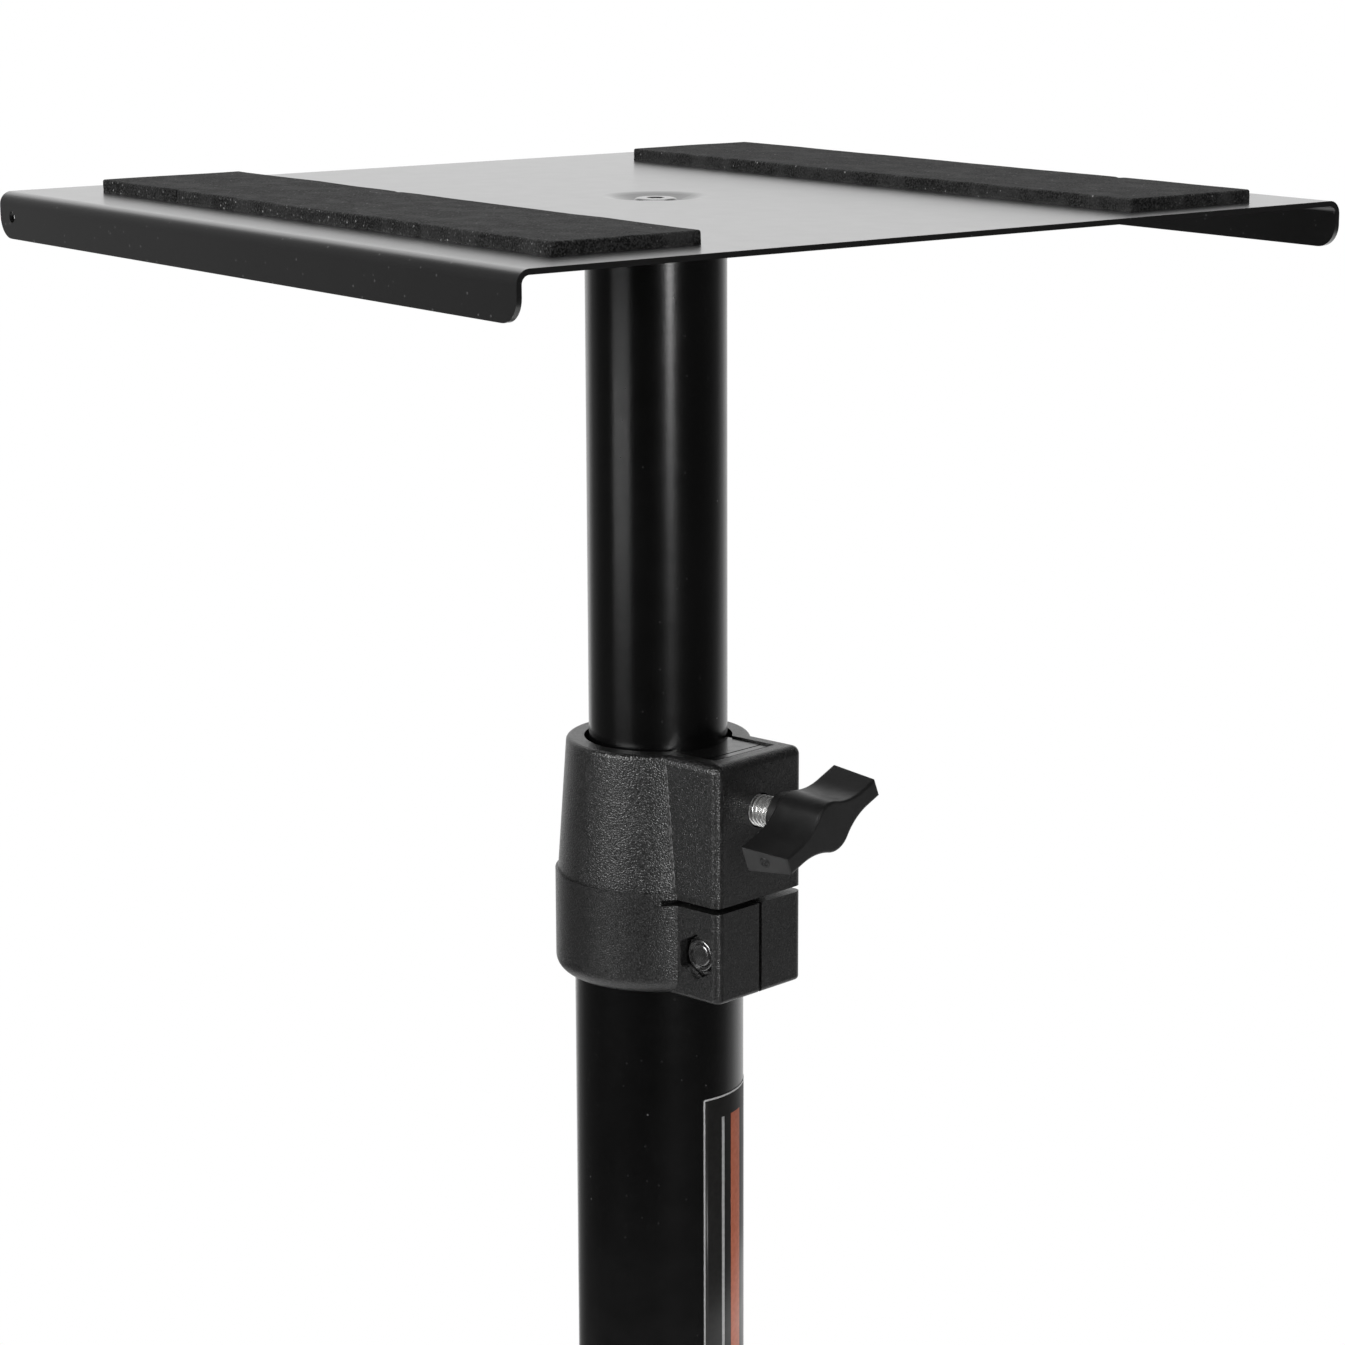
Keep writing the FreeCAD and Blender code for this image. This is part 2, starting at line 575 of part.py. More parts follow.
def knob_outline(x, hub, span, wing):
    """Wire of a two-wing knob at x, square to X: a round hub that blends into wings along Y."""
    reach = hub / 2 + KNOB_BLEND
    rise = wing / 2 + KNOB_BLEND
    run = math.sqrt(reach ** 2 - rise ** 2)
    lean = math.atan2(run, rise) / 2
    share = hub / 2 / reach
    tip_y = span / 2
    tip_z = wing / 2
    edges = []
    for side in (1, -1):
        for level in (1, -1):
            tip = FreeCAD.Vector(x, side * tip_y, level * tip_z)
            neck = FreeCAD.Vector(x, side * run, level * tip_z)
            waist_y = side * (run - KNOB_BLEND * math.sin(lean))
            waist = FreeCAD.Vector(x, waist_y, level * (rise - KNOB_BLEND * math.cos(lean)))
            root = FreeCAD.Vector(x, side * run * share, level * rise * share)
            edges += [line(tip, neck), arc(neck, waist, root)]
        edges.append(line(FreeCAD.Vector(x, side * tip_y, -tip_z), FreeCAD.Vector(x, side * tip_y, tip_z)))
    for level in (1, -1):
        left = FreeCAD.Vector(x, -run * share, level * rise * share)
        crown = FreeCAD.Vector(x, 0, level * hub / 2)
        right = FreeCAD.Vector(x, run * share, level * rise * share)
        edges.append(arc(left, crown, right))
    return Part.Wire(Part.__sortEdges__(edges))


def wing_knob(face, height, heading):
    """Two-wing knob, drafted to its front, moulded on a stud that stands out of a boss face."""
    rear_hub = KNOB_HUB_DIAMETER + KNOB_HUB_DRAFT
    rear = knob_outline(0, rear_hub, KNOB_SPAN + KNOB_SPAN_DRAFT, KNOB_WING + KNOB_WING_DRAFT)
    front = knob_outline(KNOB_DEPTH, KNOB_HUB_DIAMETER, KNOB_SPAN, KNOB_WING)
    wings = Part.makeLoft([rear, front], True, True)

    def rim(edge):
        return edge.BoundBox.XLength < NEAR

    wings = rounded(wings, KNOB_EDGE_ROUND, rim)
    neck = outward(KNOB_NECK_DIAMETER / 2, -KNOB_NECK_LENGTH, KNOB_DEPTH / 2, 0)
    knob = wings.fuse(neck).removeSplitter()
    bore = outward(STUD_DIAMETER / 2, -KNOB_NECK_LENGTH, STUD_IN_KNOB - KNOB_NECK_LENGTH, 0)
    knob = knob.cut(bore)
    knob.rotate(ORIGIN, ALONG_X, KNOB_TILT)
    knob.translate(FreeCAD.Vector(face + STUD_SHOWN + KNOB_NECK_LENGTH, 0, height))
    return turned(knob, heading)


def stud(near, face, height, heading):
    """Threaded stud from its pressing end into the knob."""
    return turned(outward(STUD_DIAMETER / 2, near, face + STUD_SHOWN + STUD_IN_KNOB, height), heading)


def leg_collar():
    """Sliding collar with a fork for each leg and a boss for the lock."""
    low = LEG_PIVOT_HEIGHT - LEG_COLLAR_BELOW
    high = LEG_PIVOT_HEIGHT + LEG_COLLAR_ABOVE
    body = upright(LEG_COLLAR_RADIUS, low, high)
    edge_round = min(LEG_COLLAR_ROUND, LEG_COLLAR_WALL - ROUND_MARGIN)
    body = rounded(body, edge_round, level_circle(low, LEG_COLLAR_RADIUS))
    body = rounded(body, edge_round, level_circle(high, LEG_COLLAR_RADIUS))
    tip_radius = FORK_TIP_DIAMETER / 2
    pieces = []
    for heading in LEG_HEADINGS:
        for left in (-FORK_OUTER, FORK_INNER):
            right = left + FORK_WALL
            cheek = lug(FORK_ROOT_HALF, LEG_PIVOT_RADIUS, LEG_PIVOT_HEIGHT, tip_radius, left, right)
            pieces.append(turned(cheek, heading))
    boss_low = LEG_PIVOT_HEIGHT - LOCK_BOSS_HALF
    boss = block(0, LOCK_FACE, LOCK_BOSS_HALF, boss_low, boss_low + 2 * LOCK_BOSS_HALF)
    pieces.append(turned(boss.makeFillet(LOCK_BOSS_ROUND, boss.Edges), LOCK_HEADING))
    body = body.fuse(pieces).removeSplitter().cut(upright(LEG_COLLAR_BORE, low, high))
    chamber = outward(LOCK_PAD_DIAMETER / 2 + LOCK_PAD_GAP, 0, LOCK_INSERT_INNER, LEG_PIVOT_HEIGHT)
    seat = outward(LOCK_INSERT_DIAMETER / 2, LOCK_INSERT_INNER, LOCK_INSERT_OUTER, LEG_PIVOT_HEIGHT)
    mouth = outward(STUD_DIAMETER / 2 + STUD_WALL_GAP, LOCK_INSERT_OUTER, LOCK_FACE, LEG_PIVOT_HEIGHT)
    cuts = [turned(bore, LOCK_HEADING) for bore in (chamber, seat, mouth)]
    for heading in LEG_HEADINGS:
        hole = crosswise(PIVOT_BOLT_DIAMETER / 2, LEG_PIVOT_RADIUS, LEG_PIVOT_HEIGHT, -FORK_OUTER, FORK_OUTER)
        cuts.append(turned(hole, heading))
    return body.cut(Part.makeCompound(cuts))


def pivot_bolt(x, height, half):
    """Hexagon bolt across a fork or a pair of straps, with its head on the +Y side."""
    bolt = shank(PIVOT_BOLT_DIAMETER, x, height, -half - FULL_NUT - BOLT_END, half)
    return bolt.fuse(hex_head(x, height, half, half + PIVOT_HEAD_HEIGHT))


def around_legs(shape):
    """One copy of a shape at each leg's heading, as separate solids."""
    return Part.makeCompound([turned(shape, heading) for heading in LEG_HEADINGS])


def leg_insert():
    """Round tapped insert, moulded in behind the lip of the lock's boss."""
    insert = outward(LOCK_INSERT_DIAMETER / 2, LOCK_INSERT_INNER, LOCK_INSERT_OUTER, LEG_PIVOT_HEIGHT)
    thread = outward(STUD_DIAMETER / 2 + STUD_GAP, LOCK_INSERT_INNER, LOCK_INSERT_OUTER, LEG_PIVOT_HEIGHT)
    return turned(insert.cut(thread), LOCK_HEADING)


def lock_pad():
    """Pressure pad, hollowed to the lower tube."""
    pad = outward(LOCK_PAD_DIAMETER / 2, 0, LOCK_PAD_OUTER, LEG_PIVOT_HEIGHT)
    reach = LOCK_PAD_DIAMETER
    hollow = upright(OUTER_RADIUS + SHOE_GAP, LEG_PIVOT_HEIGHT - reach, LEG_PIVOT_HEIGHT + reach)
    return turned(pad.cut(hollow), LOCK_HEADING)


def placed_leg(shape, heading):
    """Swing a leg piece, drawn hanging from its pivot at the origin, to its rest angle and heading."""
    copy = shape.copy()
    copy.rotate(ORIGIN, ALONG_Y, -LEG_REST_ANGLE)
    copy.translate(FreeCAD.Vector(LEG_PIVOT_RADIUS, 0, LEG_PIVOT_HEIGHT))
    return turned(copy, heading)


def leg(heading):
    tube = sleeve(LEG_RADIUS, LEG_RADIUS - LEG_WALL, -LEG_LENGTH, LEG_OVERHANG)
    hole_radius = PIVOT_BOLT_DIAMETER / 2 + PIVOT_GAP
    return placed_leg(tube.cut(crosswise(hole_radius, 0, 0, -LEG_RADIUS, LEG_RADIUS)), heading)


def leg_plug(heading):
    """Plug with a flange on the upper end of a leg."""
    flange = upright(LEG_RADIUS, LEG_OVERHANG, LEG_OVERHANG + LEG_PLUG_FLANGE)
    flange = rounded(flange, LEG_PLUG_FLANGE / 2, level_circle(LEG_OVERHANG + LEG_PLUG_FLANGE, LEG_RADIUS))
    spigot = upright(LEG_RADIUS - LEG_WALL, LEG_OVERHANG - LEG_PLUG_SPIGOT, LEG_OVERHANG)
    return placed_leg(flange.fuse(spigot), heading)


def foot(heading):
    """Rubber boot over the lower end of a leg, cut level where it stands on the floor."""
    radius = LEG_RADIUS + FOOT_WALL
    toe = -LEG_LENGTH - FOOT_TOE
    rim = -LEG_LENGTH + FOOT_GRIP
    boot = rounded(upright(radius, toe, rim), FOOT_TOE_ROUND, level_circle(toe, radius))
    rim_edges = [edge for edge in boot.Edges if level_circle(rim, radius)(edge)]
    boot = boot.makeChamfer(min(FOOT_RIM_CHAMFER, FOOT_WALL / 2), rim_edges)
    boot = placed_leg(boot.cut(upright(LEG_RADIUS, -LEG_LENGTH, rim)), 0)
    reach = LEG_PIVOT_RADIUS + LEG_LENGTH + FOOT_TOE
    floor = block(0, reach, radius, -reach, 0)
    return turned(boot.cut(floor), heading)


def strap(side):
    """Flat brace strap with round ends on one side of the leg's plane: side is -1 or 1."""
    inner = side * (STRAP_INNER + STRAP_OUTER) / 2 - STRAP_THICKNESS / 2
    half = STRAP_WIDTH / 2
    outer_x = HUB_PIVOT_RADIUS + BRACE_LENGTH
    corner = FreeCAD.Vector(HUB_PIVOT_RADIUS, inner, HUB_PIVOT_HEIGHT - half)
    bar = Part.makeBox(BRACE_LENGTH, STRAP_THICKNESS, STRAP_WIDTH, corner)

    def across(radius, x):
        return crosswise(radius, x, HUB_PIVOT_HEIGHT, inner, inner + STRAP_THICKNESS)

    bar = bar.fuse([across(half, HUB_PIVOT_RADIUS), across(half, outer_x)]).removeSplitter()
    bar = bar.cut(across(PIVOT_BOLT_DIAMETER / 2 + PIVOT_GAP, HUB_PIVOT_RADIUS))
    return bar.cut(across(RIVET_DIAMETER / 2, outer_x))


def rivet():
    """Rivet of the strap on the +Y side: a shank in the strap under a domed head."""
    x = HUB_PIVOT_RADIUS + BRACE_LENGTH
    head_radius = RIVET_HEAD_DIAMETER / 2
    dome = (head_radius ** 2 + RIVET_HEAD_HEIGHT ** 2) / (2 * RIVET_HEAD_HEIGHT)
    centre_y = STRAP_OUTER + RIVET_HEAD_HEIGHT - dome
    ball = Part.makeSphere(dome, FreeCAD.Vector(x, centre_y, HUB_PIVOT_HEIGHT))
    slice_end = STRAP_OUTER + RIVET_HEAD_HEIGHT
    head = ball.common(crosswise(dome, x, HUB_PIVOT_HEIGHT, STRAP_OUTER, slice_end))
    return head.fuse(crosswise(RIVET_DIAMETER / 2, x, HUB_PIVOT_HEIGHT, STRAP_INNER, STRAP_OUTER))


def mirrored_pair(shape):
    """A shape and its mirror image across the leg's plane."""
    return Part.makeCompound([shape, shape.mirror(ORIGIN, ALONG_Y)])


def base_hub():
    """Fixed hub: a cup on the lower end of the mast with a tongue for each pair of braces."""
    low = HUB_PIVOT_HEIGHT - HUB_BELOW
    high = HUB_PIVOT_HEIGHT + HUB_ABOVE
    body = upright(HUB_RADIUS, low, high)
    edge_round = min(HUB_ROUND, HUB_WALL - ROUND_MARGIN)
    body = rounded(body, edge_round, level_circle(low, HUB_RADIUS))
    body = rounded(body, edge_round, level_circle(high, HUB_RADIUS))
    tip_radius = TONGUE_TIP_DIAMETER / 2
    half = TONGUE_HALF
    tongue = lug(TONGUE_ROOT_HALF, HUB_PIVOT_RADIUS, HUB_PIVOT_HEIGHT, tip_radius, -half, half)
    body = body.fuse([turned(tongue, heading) for heading in LEG_HEADINGS]).removeSplitter()
    body = body.cut(upright(OUTER_RADIUS, low + HUB_FLOOR, high))
    cuts = []
    for heading in LEG_HEADINGS:
        hole = crosswise(PIVOT_BOLT_DIAMETER / 2, HUB_PIVOT_RADIUS, HUB_PIVOT_HEIGHT, -half, half)
        cuts.append(turned(hole, heading))
    spot = HUB_RADIUS - HUB_SPOT_DEPTH
    for heading in HUB_SCREW_HEADINGS:
        seat = outward(HUB_SCREW_HEAD / 2 + HEAD_POCKET_GAP, spot, HUB_RADIUS + 1, HUB_PIVOT_HEIGHT)
        hole = outward(HUB_SCREW_DIAMETER / 2, OUTER_RADIUS - 1, spot, HUB_PIVOT_HEIGHT)
        cuts += [turned(seat, heading), turned(hole, heading)]
    return body.cut(Part.makeCompound(cuts))


def hub_screws():
    """Pan-head screws through the hub and the wall of the lower tube."""
    spot = HUB_RADIUS - HUB_SPOT_DEPTH
    head_end = spot + HUB_SCREW_HEAD_HEIGHT
    head = outward(HUB_SCREW_HEAD / 2, spot, head_end, HUB_PIVOT_HEIGHT)

    def crown(edge):
        return edge.BoundBox.XMin > head_end - NEAR

    head = rounded(head, HUB_SCREW_HEAD_HEIGHT / 2, crown)
    screw = head.fuse(outward(HUB_SCREW_DIAMETER / 2, OUTER_BORE, spot, HUB_PIVOT_HEIGHT))
    return Part.makeCompound([turned(screw, heading) for heading in HUB_SCREW_HEADINGS])


def save(name, shape):
    shape.exportStep("parts/" + name + ".step")


def save_top():
    save("tray", tray())
    save("foam_pad_left", foam_pad(-1, LEFT_PAD_SIDE, LEFT_PAD_FRONT, LEFT_PAD_REAR))
    save("foam_pad_right", foam_pad(1, RIGHT_PAD_SIDE, RIGHT_PAD_FRONT, RIGHT_PAD_REAR))
    save("tray_screw", tray_screw())
    save("tray_plug", tray_plug())
    save("inner_tube", inner_tube())
    save("guide_bush", guide_bush())


def save_mast():
    save("outer_tube", outer_tube())
    save("clamp_collar", clamp_collar())
    save("collar_bolt", collar_bolt())
    save("collar_nut", collar_nut())
    save("collar_insert", collar_insert())
    save("clamp_shoe", clamp_shoe())
    save("thrust_plate", thrust_plate())
    save("clamp_stud", stud(SHOE_OUTER, BOSS_FACE, STUD_HEIGHT, COLLAR_HEADING))
    save("clamp_knob", wing_knob(BOSS_FACE, STUD_HEIGHT, COLLAR_HEADING))


def save_tripod():
    save("leg_collar", leg_collar())
    save("leg_insert", leg_insert())
    save("leg_lock_pad", lock_pad())
    save("leg_lock_stud", stud(LOCK_PAD_OUTER, LOCK_FACE, LEG_PIVOT_HEIGHT, LOCK_HEADING))
    save("leg_lock_knob", wing_knob(LOCK_FACE, LEG_PIVOT_HEIGHT, LOCK_HEADING))
    save("leg_pivot_bolts", around_legs(pivot_bolt(LEG_PIVOT_RADIUS, LEG_PIVOT_HEIGHT, FORK_OUTER)))
    save("leg_pivot_nuts", around_legs(locknut(LEG_PIVOT_RADIUS, LEG_PIVOT_HEIGHT, -FORK_OUTER, -1)))
    for number, heading in enumerate(LEG_HEADINGS, 1):
        save("leg_%d" % number, leg(heading))
        save("leg_plug_%d" % number, leg_plug(heading))
        save("foot_%d" % number, foot(heading))
        save("brace_%d" % number, turned(mirrored_pair(strap(1)), heading))
        save("brace_rivets_%d" % number, turned(mirrored_pair(rivet()), heading))
    save("base_hub", base_hub())
    hub_half = STRAP_OUTER + WASHER_GAP
    save("hub_bolts", around_legs(pivot_bolt(HUB_PIVOT_RADIUS, HUB_PIVOT_HEIGHT, hub_half)))
    save("hub_nuts", around_legs(locknut(HUB_PIVOT_RADIUS, HUB_PIVOT_HEIGHT, -hub_half, -1)))
    save("hub_screws", hub_screws())


os.makedirs("parts", exist_ok=True)
save_top()
save_mast()
save_tripod()
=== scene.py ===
import json
import math

import bpy
from mathutils import Matrix, Vector, noise


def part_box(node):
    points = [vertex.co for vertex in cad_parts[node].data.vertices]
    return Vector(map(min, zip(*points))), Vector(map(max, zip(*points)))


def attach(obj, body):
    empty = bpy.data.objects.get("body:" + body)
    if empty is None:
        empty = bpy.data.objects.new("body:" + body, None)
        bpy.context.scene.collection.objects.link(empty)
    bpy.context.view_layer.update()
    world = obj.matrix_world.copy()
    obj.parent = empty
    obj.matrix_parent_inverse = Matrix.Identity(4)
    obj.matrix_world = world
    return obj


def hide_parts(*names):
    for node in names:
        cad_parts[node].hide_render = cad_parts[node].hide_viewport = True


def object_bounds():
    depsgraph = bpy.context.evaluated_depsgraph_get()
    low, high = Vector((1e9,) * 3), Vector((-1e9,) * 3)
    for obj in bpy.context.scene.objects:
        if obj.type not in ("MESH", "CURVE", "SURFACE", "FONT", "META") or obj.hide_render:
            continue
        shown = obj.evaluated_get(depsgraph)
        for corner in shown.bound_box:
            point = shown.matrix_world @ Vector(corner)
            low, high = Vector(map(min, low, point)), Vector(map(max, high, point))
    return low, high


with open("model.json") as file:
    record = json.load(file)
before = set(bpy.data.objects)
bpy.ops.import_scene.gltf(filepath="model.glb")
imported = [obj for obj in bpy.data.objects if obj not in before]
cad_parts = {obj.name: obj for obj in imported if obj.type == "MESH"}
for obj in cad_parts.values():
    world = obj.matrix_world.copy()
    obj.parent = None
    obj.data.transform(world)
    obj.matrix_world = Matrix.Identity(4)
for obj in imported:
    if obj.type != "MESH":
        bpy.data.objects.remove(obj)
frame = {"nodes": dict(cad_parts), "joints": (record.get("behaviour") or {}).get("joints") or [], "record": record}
cad_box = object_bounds()
joints = {joint["name"]: joint for joint in frame["joints"]}

MM = 0.001
MICRON = 0.000001
UP = Vector((0, 0, 1))


def add_node(tree, kind, inputs=None, **attributes):
    """New node with its attributes and inputs set; an input may be a socket to link from."""
    made = tree.nodes.new(kind)
    for key, value in attributes.items():
        setattr(made, key, value)
    for key, value in (inputs or {}).items():
        if isinstance(value, bpy.types.NodeSocket):
            tree.links.new(value, made.inputs[key])
        else:
            made.inputs[key].default_value = value
    return made


def calculate(tree, operation, first, second, clamp=False):
    """Result of an operation on two values, held between 0 and 1 where it is clamped."""
    terms = {0: first, 1: second}
    made = add_node(tree, "ShaderNodeMath", terms, operation=operation, use_clamp=clamp)
    return made.outputs[0]


def spread(tree, value, low, high, start, end):
    """Value taken from low..high to start..end, and held at the ends."""
    limits = {"Value": value, "From Min": low, "From Max": high, "To Min": start, "To Max": end}
    return add_node(tree, "ShaderNodeMapRange", limits).outputs["Result"]


def dot(tree, vector, axis):
    """How far a vector goes along an axis."""
    terms = {0: vector, 1: axis}
    made = add_node(tree, "ShaderNodeVectorMath", terms, operation="DOT_PRODUCT")
    return made.outputs["Value"]


def rays(tree, *kinds):
    """1 for rays of the named kinds, and 0 for all others."""
    path = add_node(tree, "ShaderNodeLightPath")
    total = path.outputs[kinds[0]]
    for kind in kinds[1:]:
        total = calculate(tree, "ADD", total, path.outputs[kind], clamp=True)
    return total


# Parts of the noise's range over which colours and roughness change.
MOTTLE_RANGE = (0.35, 0.65)
CLOUD_RANGE = (0.3, 0.7)
SPECK_CORE = 0.6
BEVEL_SAMPLES = 6


class Surface:
    """Procedural material: a principled shader with textures in object coordinates, in metres."""

    def __init__(self, name, settings):
        self.material = bpy.data.materials.new(name)
        self.material.use_nodes = True
        self.tree = self.material.node_tree
        self.shader = self.tree.nodes["Principled BSDF"]
        self.place = self.add("ShaderNodeTexCoord").outputs["Object"]
        for key, value in settings.items():
            self.shader.inputs[key].default_value = value

    def add(self, kind, inputs=None, **attributes):
        return add_node(self.tree, kind, inputs, **attributes)

    def noise(self, scale, detail=2.0, stretch=None):
        """Noise with features about 1 / scale metres across."""
        place = self.place
        if stretch:
            mapping = self.add("ShaderNodeMapping", {"Vector": place, "Scale": stretch})
            place = mapping.outputs["Vector"]
        inputs = {"Vector": place, "Scale": scale, "Detail": detail}
        return self.add("ShaderNodeTexNoise", inputs).outputs["Fac"]

    def spread(self, value, low, high, start, end):
        return spread(self.tree, value, low, high, start, end)

    def times(self, first, second):
        return calculate(self.tree, "MULTIPLY", first, second)

    def mix(self, share, first, second):
        """Colour that goes from first to second with share."""
        made = self.add("ShaderNodeMix", {0: share, 6: first, 7: second}, data_type="RGBA")
        return made.outputs[2]

    def specks(self, scale, radius, share):
        """1 in round specks of that radius, in cells of the scale, in that share of the cells."""
        cells = self.add("ShaderNodeTexVoronoi", {"Vector": self.place, "Scale": scale})
        reach = radius * scale
        near = self.spread(cells.outputs["Distance"], reach * SPECK_CORE, reach, 1, 0)
        parts = self.add("ShaderNodeSeparateColor", {"Color": cells.outputs["Color"]})
        kept = calculate(self.tree, "GREATER_THAN", parts.outputs["Red"], 1 - share)
        return self.times(near, kept)

    def facing(self, axis):
        """Cosine between the surface's normal and an axis, in object coordinates."""
        return dot(self.tree, self.add("ShaderNodeTexCoord").outputs["Normal"], axis)

    def height(self):
        return self.add("ShaderNodeSeparateXYZ", {"Vector": self.place}).outputs["Z"]

    def mottle(self, scale, detail, first, second):
        """Colour that drifts between two with noise."""
        share = self.spread(self.noise(scale, detail), *MOTTLE_RANGE, 0, 1)
        return self.mix(share, first, second)

    def colour(self, socket):
        self.tree.links.new(socket, self.shader.inputs["Base Color"])

    def gloss(self, scale, detail, low, high):
        """Roughness that drifts from low to high with noise."""
        value = self.spread(self.noise(scale, detail), *CLOUD_RANGE, low, high)
        self.tree.links.new(value, self.shader.inputs["Roughness"])

    def relief(self, *layers, edge=0.0):
        """Bump from (height, depth in metres) layers, on edges that look rounded to a radius."""
        normal = None
        if edge:
            bevel = self.add("ShaderNodeBevel", {"Radius": edge}, samples=BEVEL_SAMPLES)
            normal = bevel.outputs["Normal"]
        for height, depth in layers:
            inputs = {"Height": height, "Distance": depth, "Strength": 1.0}
            if normal:
                inputs["Normal"] = normal
            normal = self.add("ShaderNodeBump", inputs).outputs["Normal"]
        self.tree.links.new(normal, self.shader.inputs["Normal"])


def grey(level, warmth=0.0):
    """Grey with a share more red and as much less blue."""
    return (level * (1 + warmth), level, level * (1 - warmth), 1)


def black_coat(name, low, high, peel, clear, dust):
    """Satin powder coat: roughness, depth of its orange peel, clear gloss and its dust's grey."""
    made = Surface(name, {"IOR": 1.5, "Coat Weight": clear, "Coat Roughness": 0.3})
    base = made.mottle(35, 3, grey(0.0012), grey(0.002))
    base = made.mix(made.specks(330, 340 * MICRON, 0.45), base, grey(dust))
    made.colour(made.mix(made.specks(150, 280 * MICRON, 0.3), base, grey(0.1)))
    made.gloss(160, 3, low, high)
    made.relief((made.noise(420, 2), peel), (made.noise(2300, 2), peel))
    return made.material


# The grain is finer on faces within these cosines of the boss's axis, and below the parting.
FRONT_COSINES = (0.86, 0.98)
FRONT_GRAIN = 0.3
LOWER_GRAIN = 0.62
PARTING_HEIGHT = 760.6 * MM
PARTING_BLEND = 0.5 * MM


def collar_moulding(axis):
    """Dark grey moulding with a spark grain, finer on faces along an axis and below the parting."""
    made = Surface("collar_moulding", {"IOR": 1.68})
    grain = made.noise(2900, 0)
    front = made.spread(made.facing(axis), *FRONT_COSINES, 1, FRONT_GRAIN)
    below, above = PARTING_HEIGHT - PARTING_BLEND, PARTING_HEIGHT + PARTING_BLEND
    lower = made.spread(made.height(), below, above, LOWER_GRAIN, 1)
    etched = made.times(grain, made.times(front, lower))
    base = made.mottle(70, 3, grey(0.004), grey(0.006))
    # Pale grain in the colour: partly the moulding's own spark grain, partly painted glints that stand in for its
    # sparkle.
    base = made.mix(made.spread(grain, 0.54, 0.7, 0, 1), base, grey(0.03))
    made.colour(made.mix(made.specks(420, 300 * MICRON, 0.1), base, grey(0.06)))
    made.gloss(3000, 1, 0.27, 0.4)
    made.relief((etched, 150 * MICRON), (made.noise(900, 2), 20 * MICRON))
    return made.material


def seam_moulding():
    """The collar's moulding along the seams, painted pale in patches as a highlight on the bead."""
    made = Surface("seam_moulding", {"IOR": 1.52})
    painted_highlight = made.spread(made.noise(1300, 2), 0.4, 0.66, 0, 1)
    patch = made.spread(made.noise(260, 2), 0.36, 0.6, 0.2, 1)
    # Pale patches: a painted highlight along the seam's bead.
    made.colour(made.mix(made.times(painted_highlight, patch), grey(0.02), grey(0.2)))
    made.gloss(900, 3, 0.3, 0.42)
    made.relief((made.noise(1700, 2), 60 * MICRON))
    return made.material


def knob_moulding():
    """Satin black moulding, smoother than the collar."""
    made = Surface("knob_moulding", {"IOR": 1.48})
    base = made.mottle(90, 3, grey(0.011), grey(0.015))
    made.colour(made.mix(made.specks(500, 200 * MICRON, 0.08), base, grey(0.05)))
    made.gloss(240, 3, 0.36, 0.46)
    fine, broad = made.noise(1900, 2), made.noise(300, 2)
    made.relief((fine, 16 * MICRON), (broad, 16 * MICRON), edge=0.5 * MM)
    return made.material


def nylon(name, low, high):
    """Smooth black nylon with faint flow marks, of a roughness from low to high."""
    made = Surface(name, {"IOR": 1.53})
    flow = made.noise(120, 3, (1, 1, 0.2))
    made.colour(made.mix(made.spread(flow, *MOTTLE_RANGE, 0, 1), grey(0.006), grey(0.009)))
    made.gloss(400, 3, low, high)
    made.relief((flow, 6 * MICRON), (made.noise(1400, 1), 1 * MICRON))
    return made.material


TARNISH = 0.45


def metal(name, dark, light, low, high):
    """Plated or plain metal with fine streaks, cloudy gloss and a few tarnish spots."""
    made = Surface(name, {"Metallic": 1.0})
    cloud = made.spread(made.noise(300, 3), *CLOUD_RANGE, 0, 1)
    spots = made.specks(400, 200 * MICRON, 0.05)
    tarnish = tuple(TARNISH * x for x in dark[:3]) + (1,)
    made.colour(made.mix(spots, made.mix(cloud, dark, light), tarnish))
    made.gloss(900, 3, low, high)
    made.relief((made.noise(2200, 2), 1 * MICRON), (made.noise(500, 2), 4 * MICRON))
    return made.material


def thread_zinc():
    """Bright passivated zinc with a soft white bloom."""
    made = Surface("thread_zinc", {"Metallic": 0.8})
    made.colour(made.mottle(700, 2, (0.94, 0.94, 0.93, 1), (0.99, 0.99, 0.98, 1)))
    made.gloss(900, 2, 0.2, 0.27)
    made.relief((made.noise(1500, 1), 2 * MICRON))
    return made.material


def black_steel():
    """Black zinc plate: dark and glossy, with small rubbed spots."""
    made = Surface("black_steel", {"Metallic": 0.9})
    cloud = made.spread(made.noise(500, 4), *CLOUD_RANGE, 0, 1)
    base = made.mix(cloud, grey(0.16), grey(0.28))
    made.colour(made.mix(made.specks(900, 160 * MICRON, 0.12), base, grey(0.5)))
    made.gloss(800, 3, 0.14, 0.24)
    made.relief((made.noise(1800, 2), 4 * MICRON))
    return made.material


# Scale of the cells, radius, share of the cells and grey of each kind of speck in the foam.
FOAM_SPECKS = [
    (1100, 260 * MICRON, 0.3, 0.07),
    (500, 300 * MICRON, 0.2, 0.15),
    (300, 300 * MICRON, 0.2, 0.25),
]


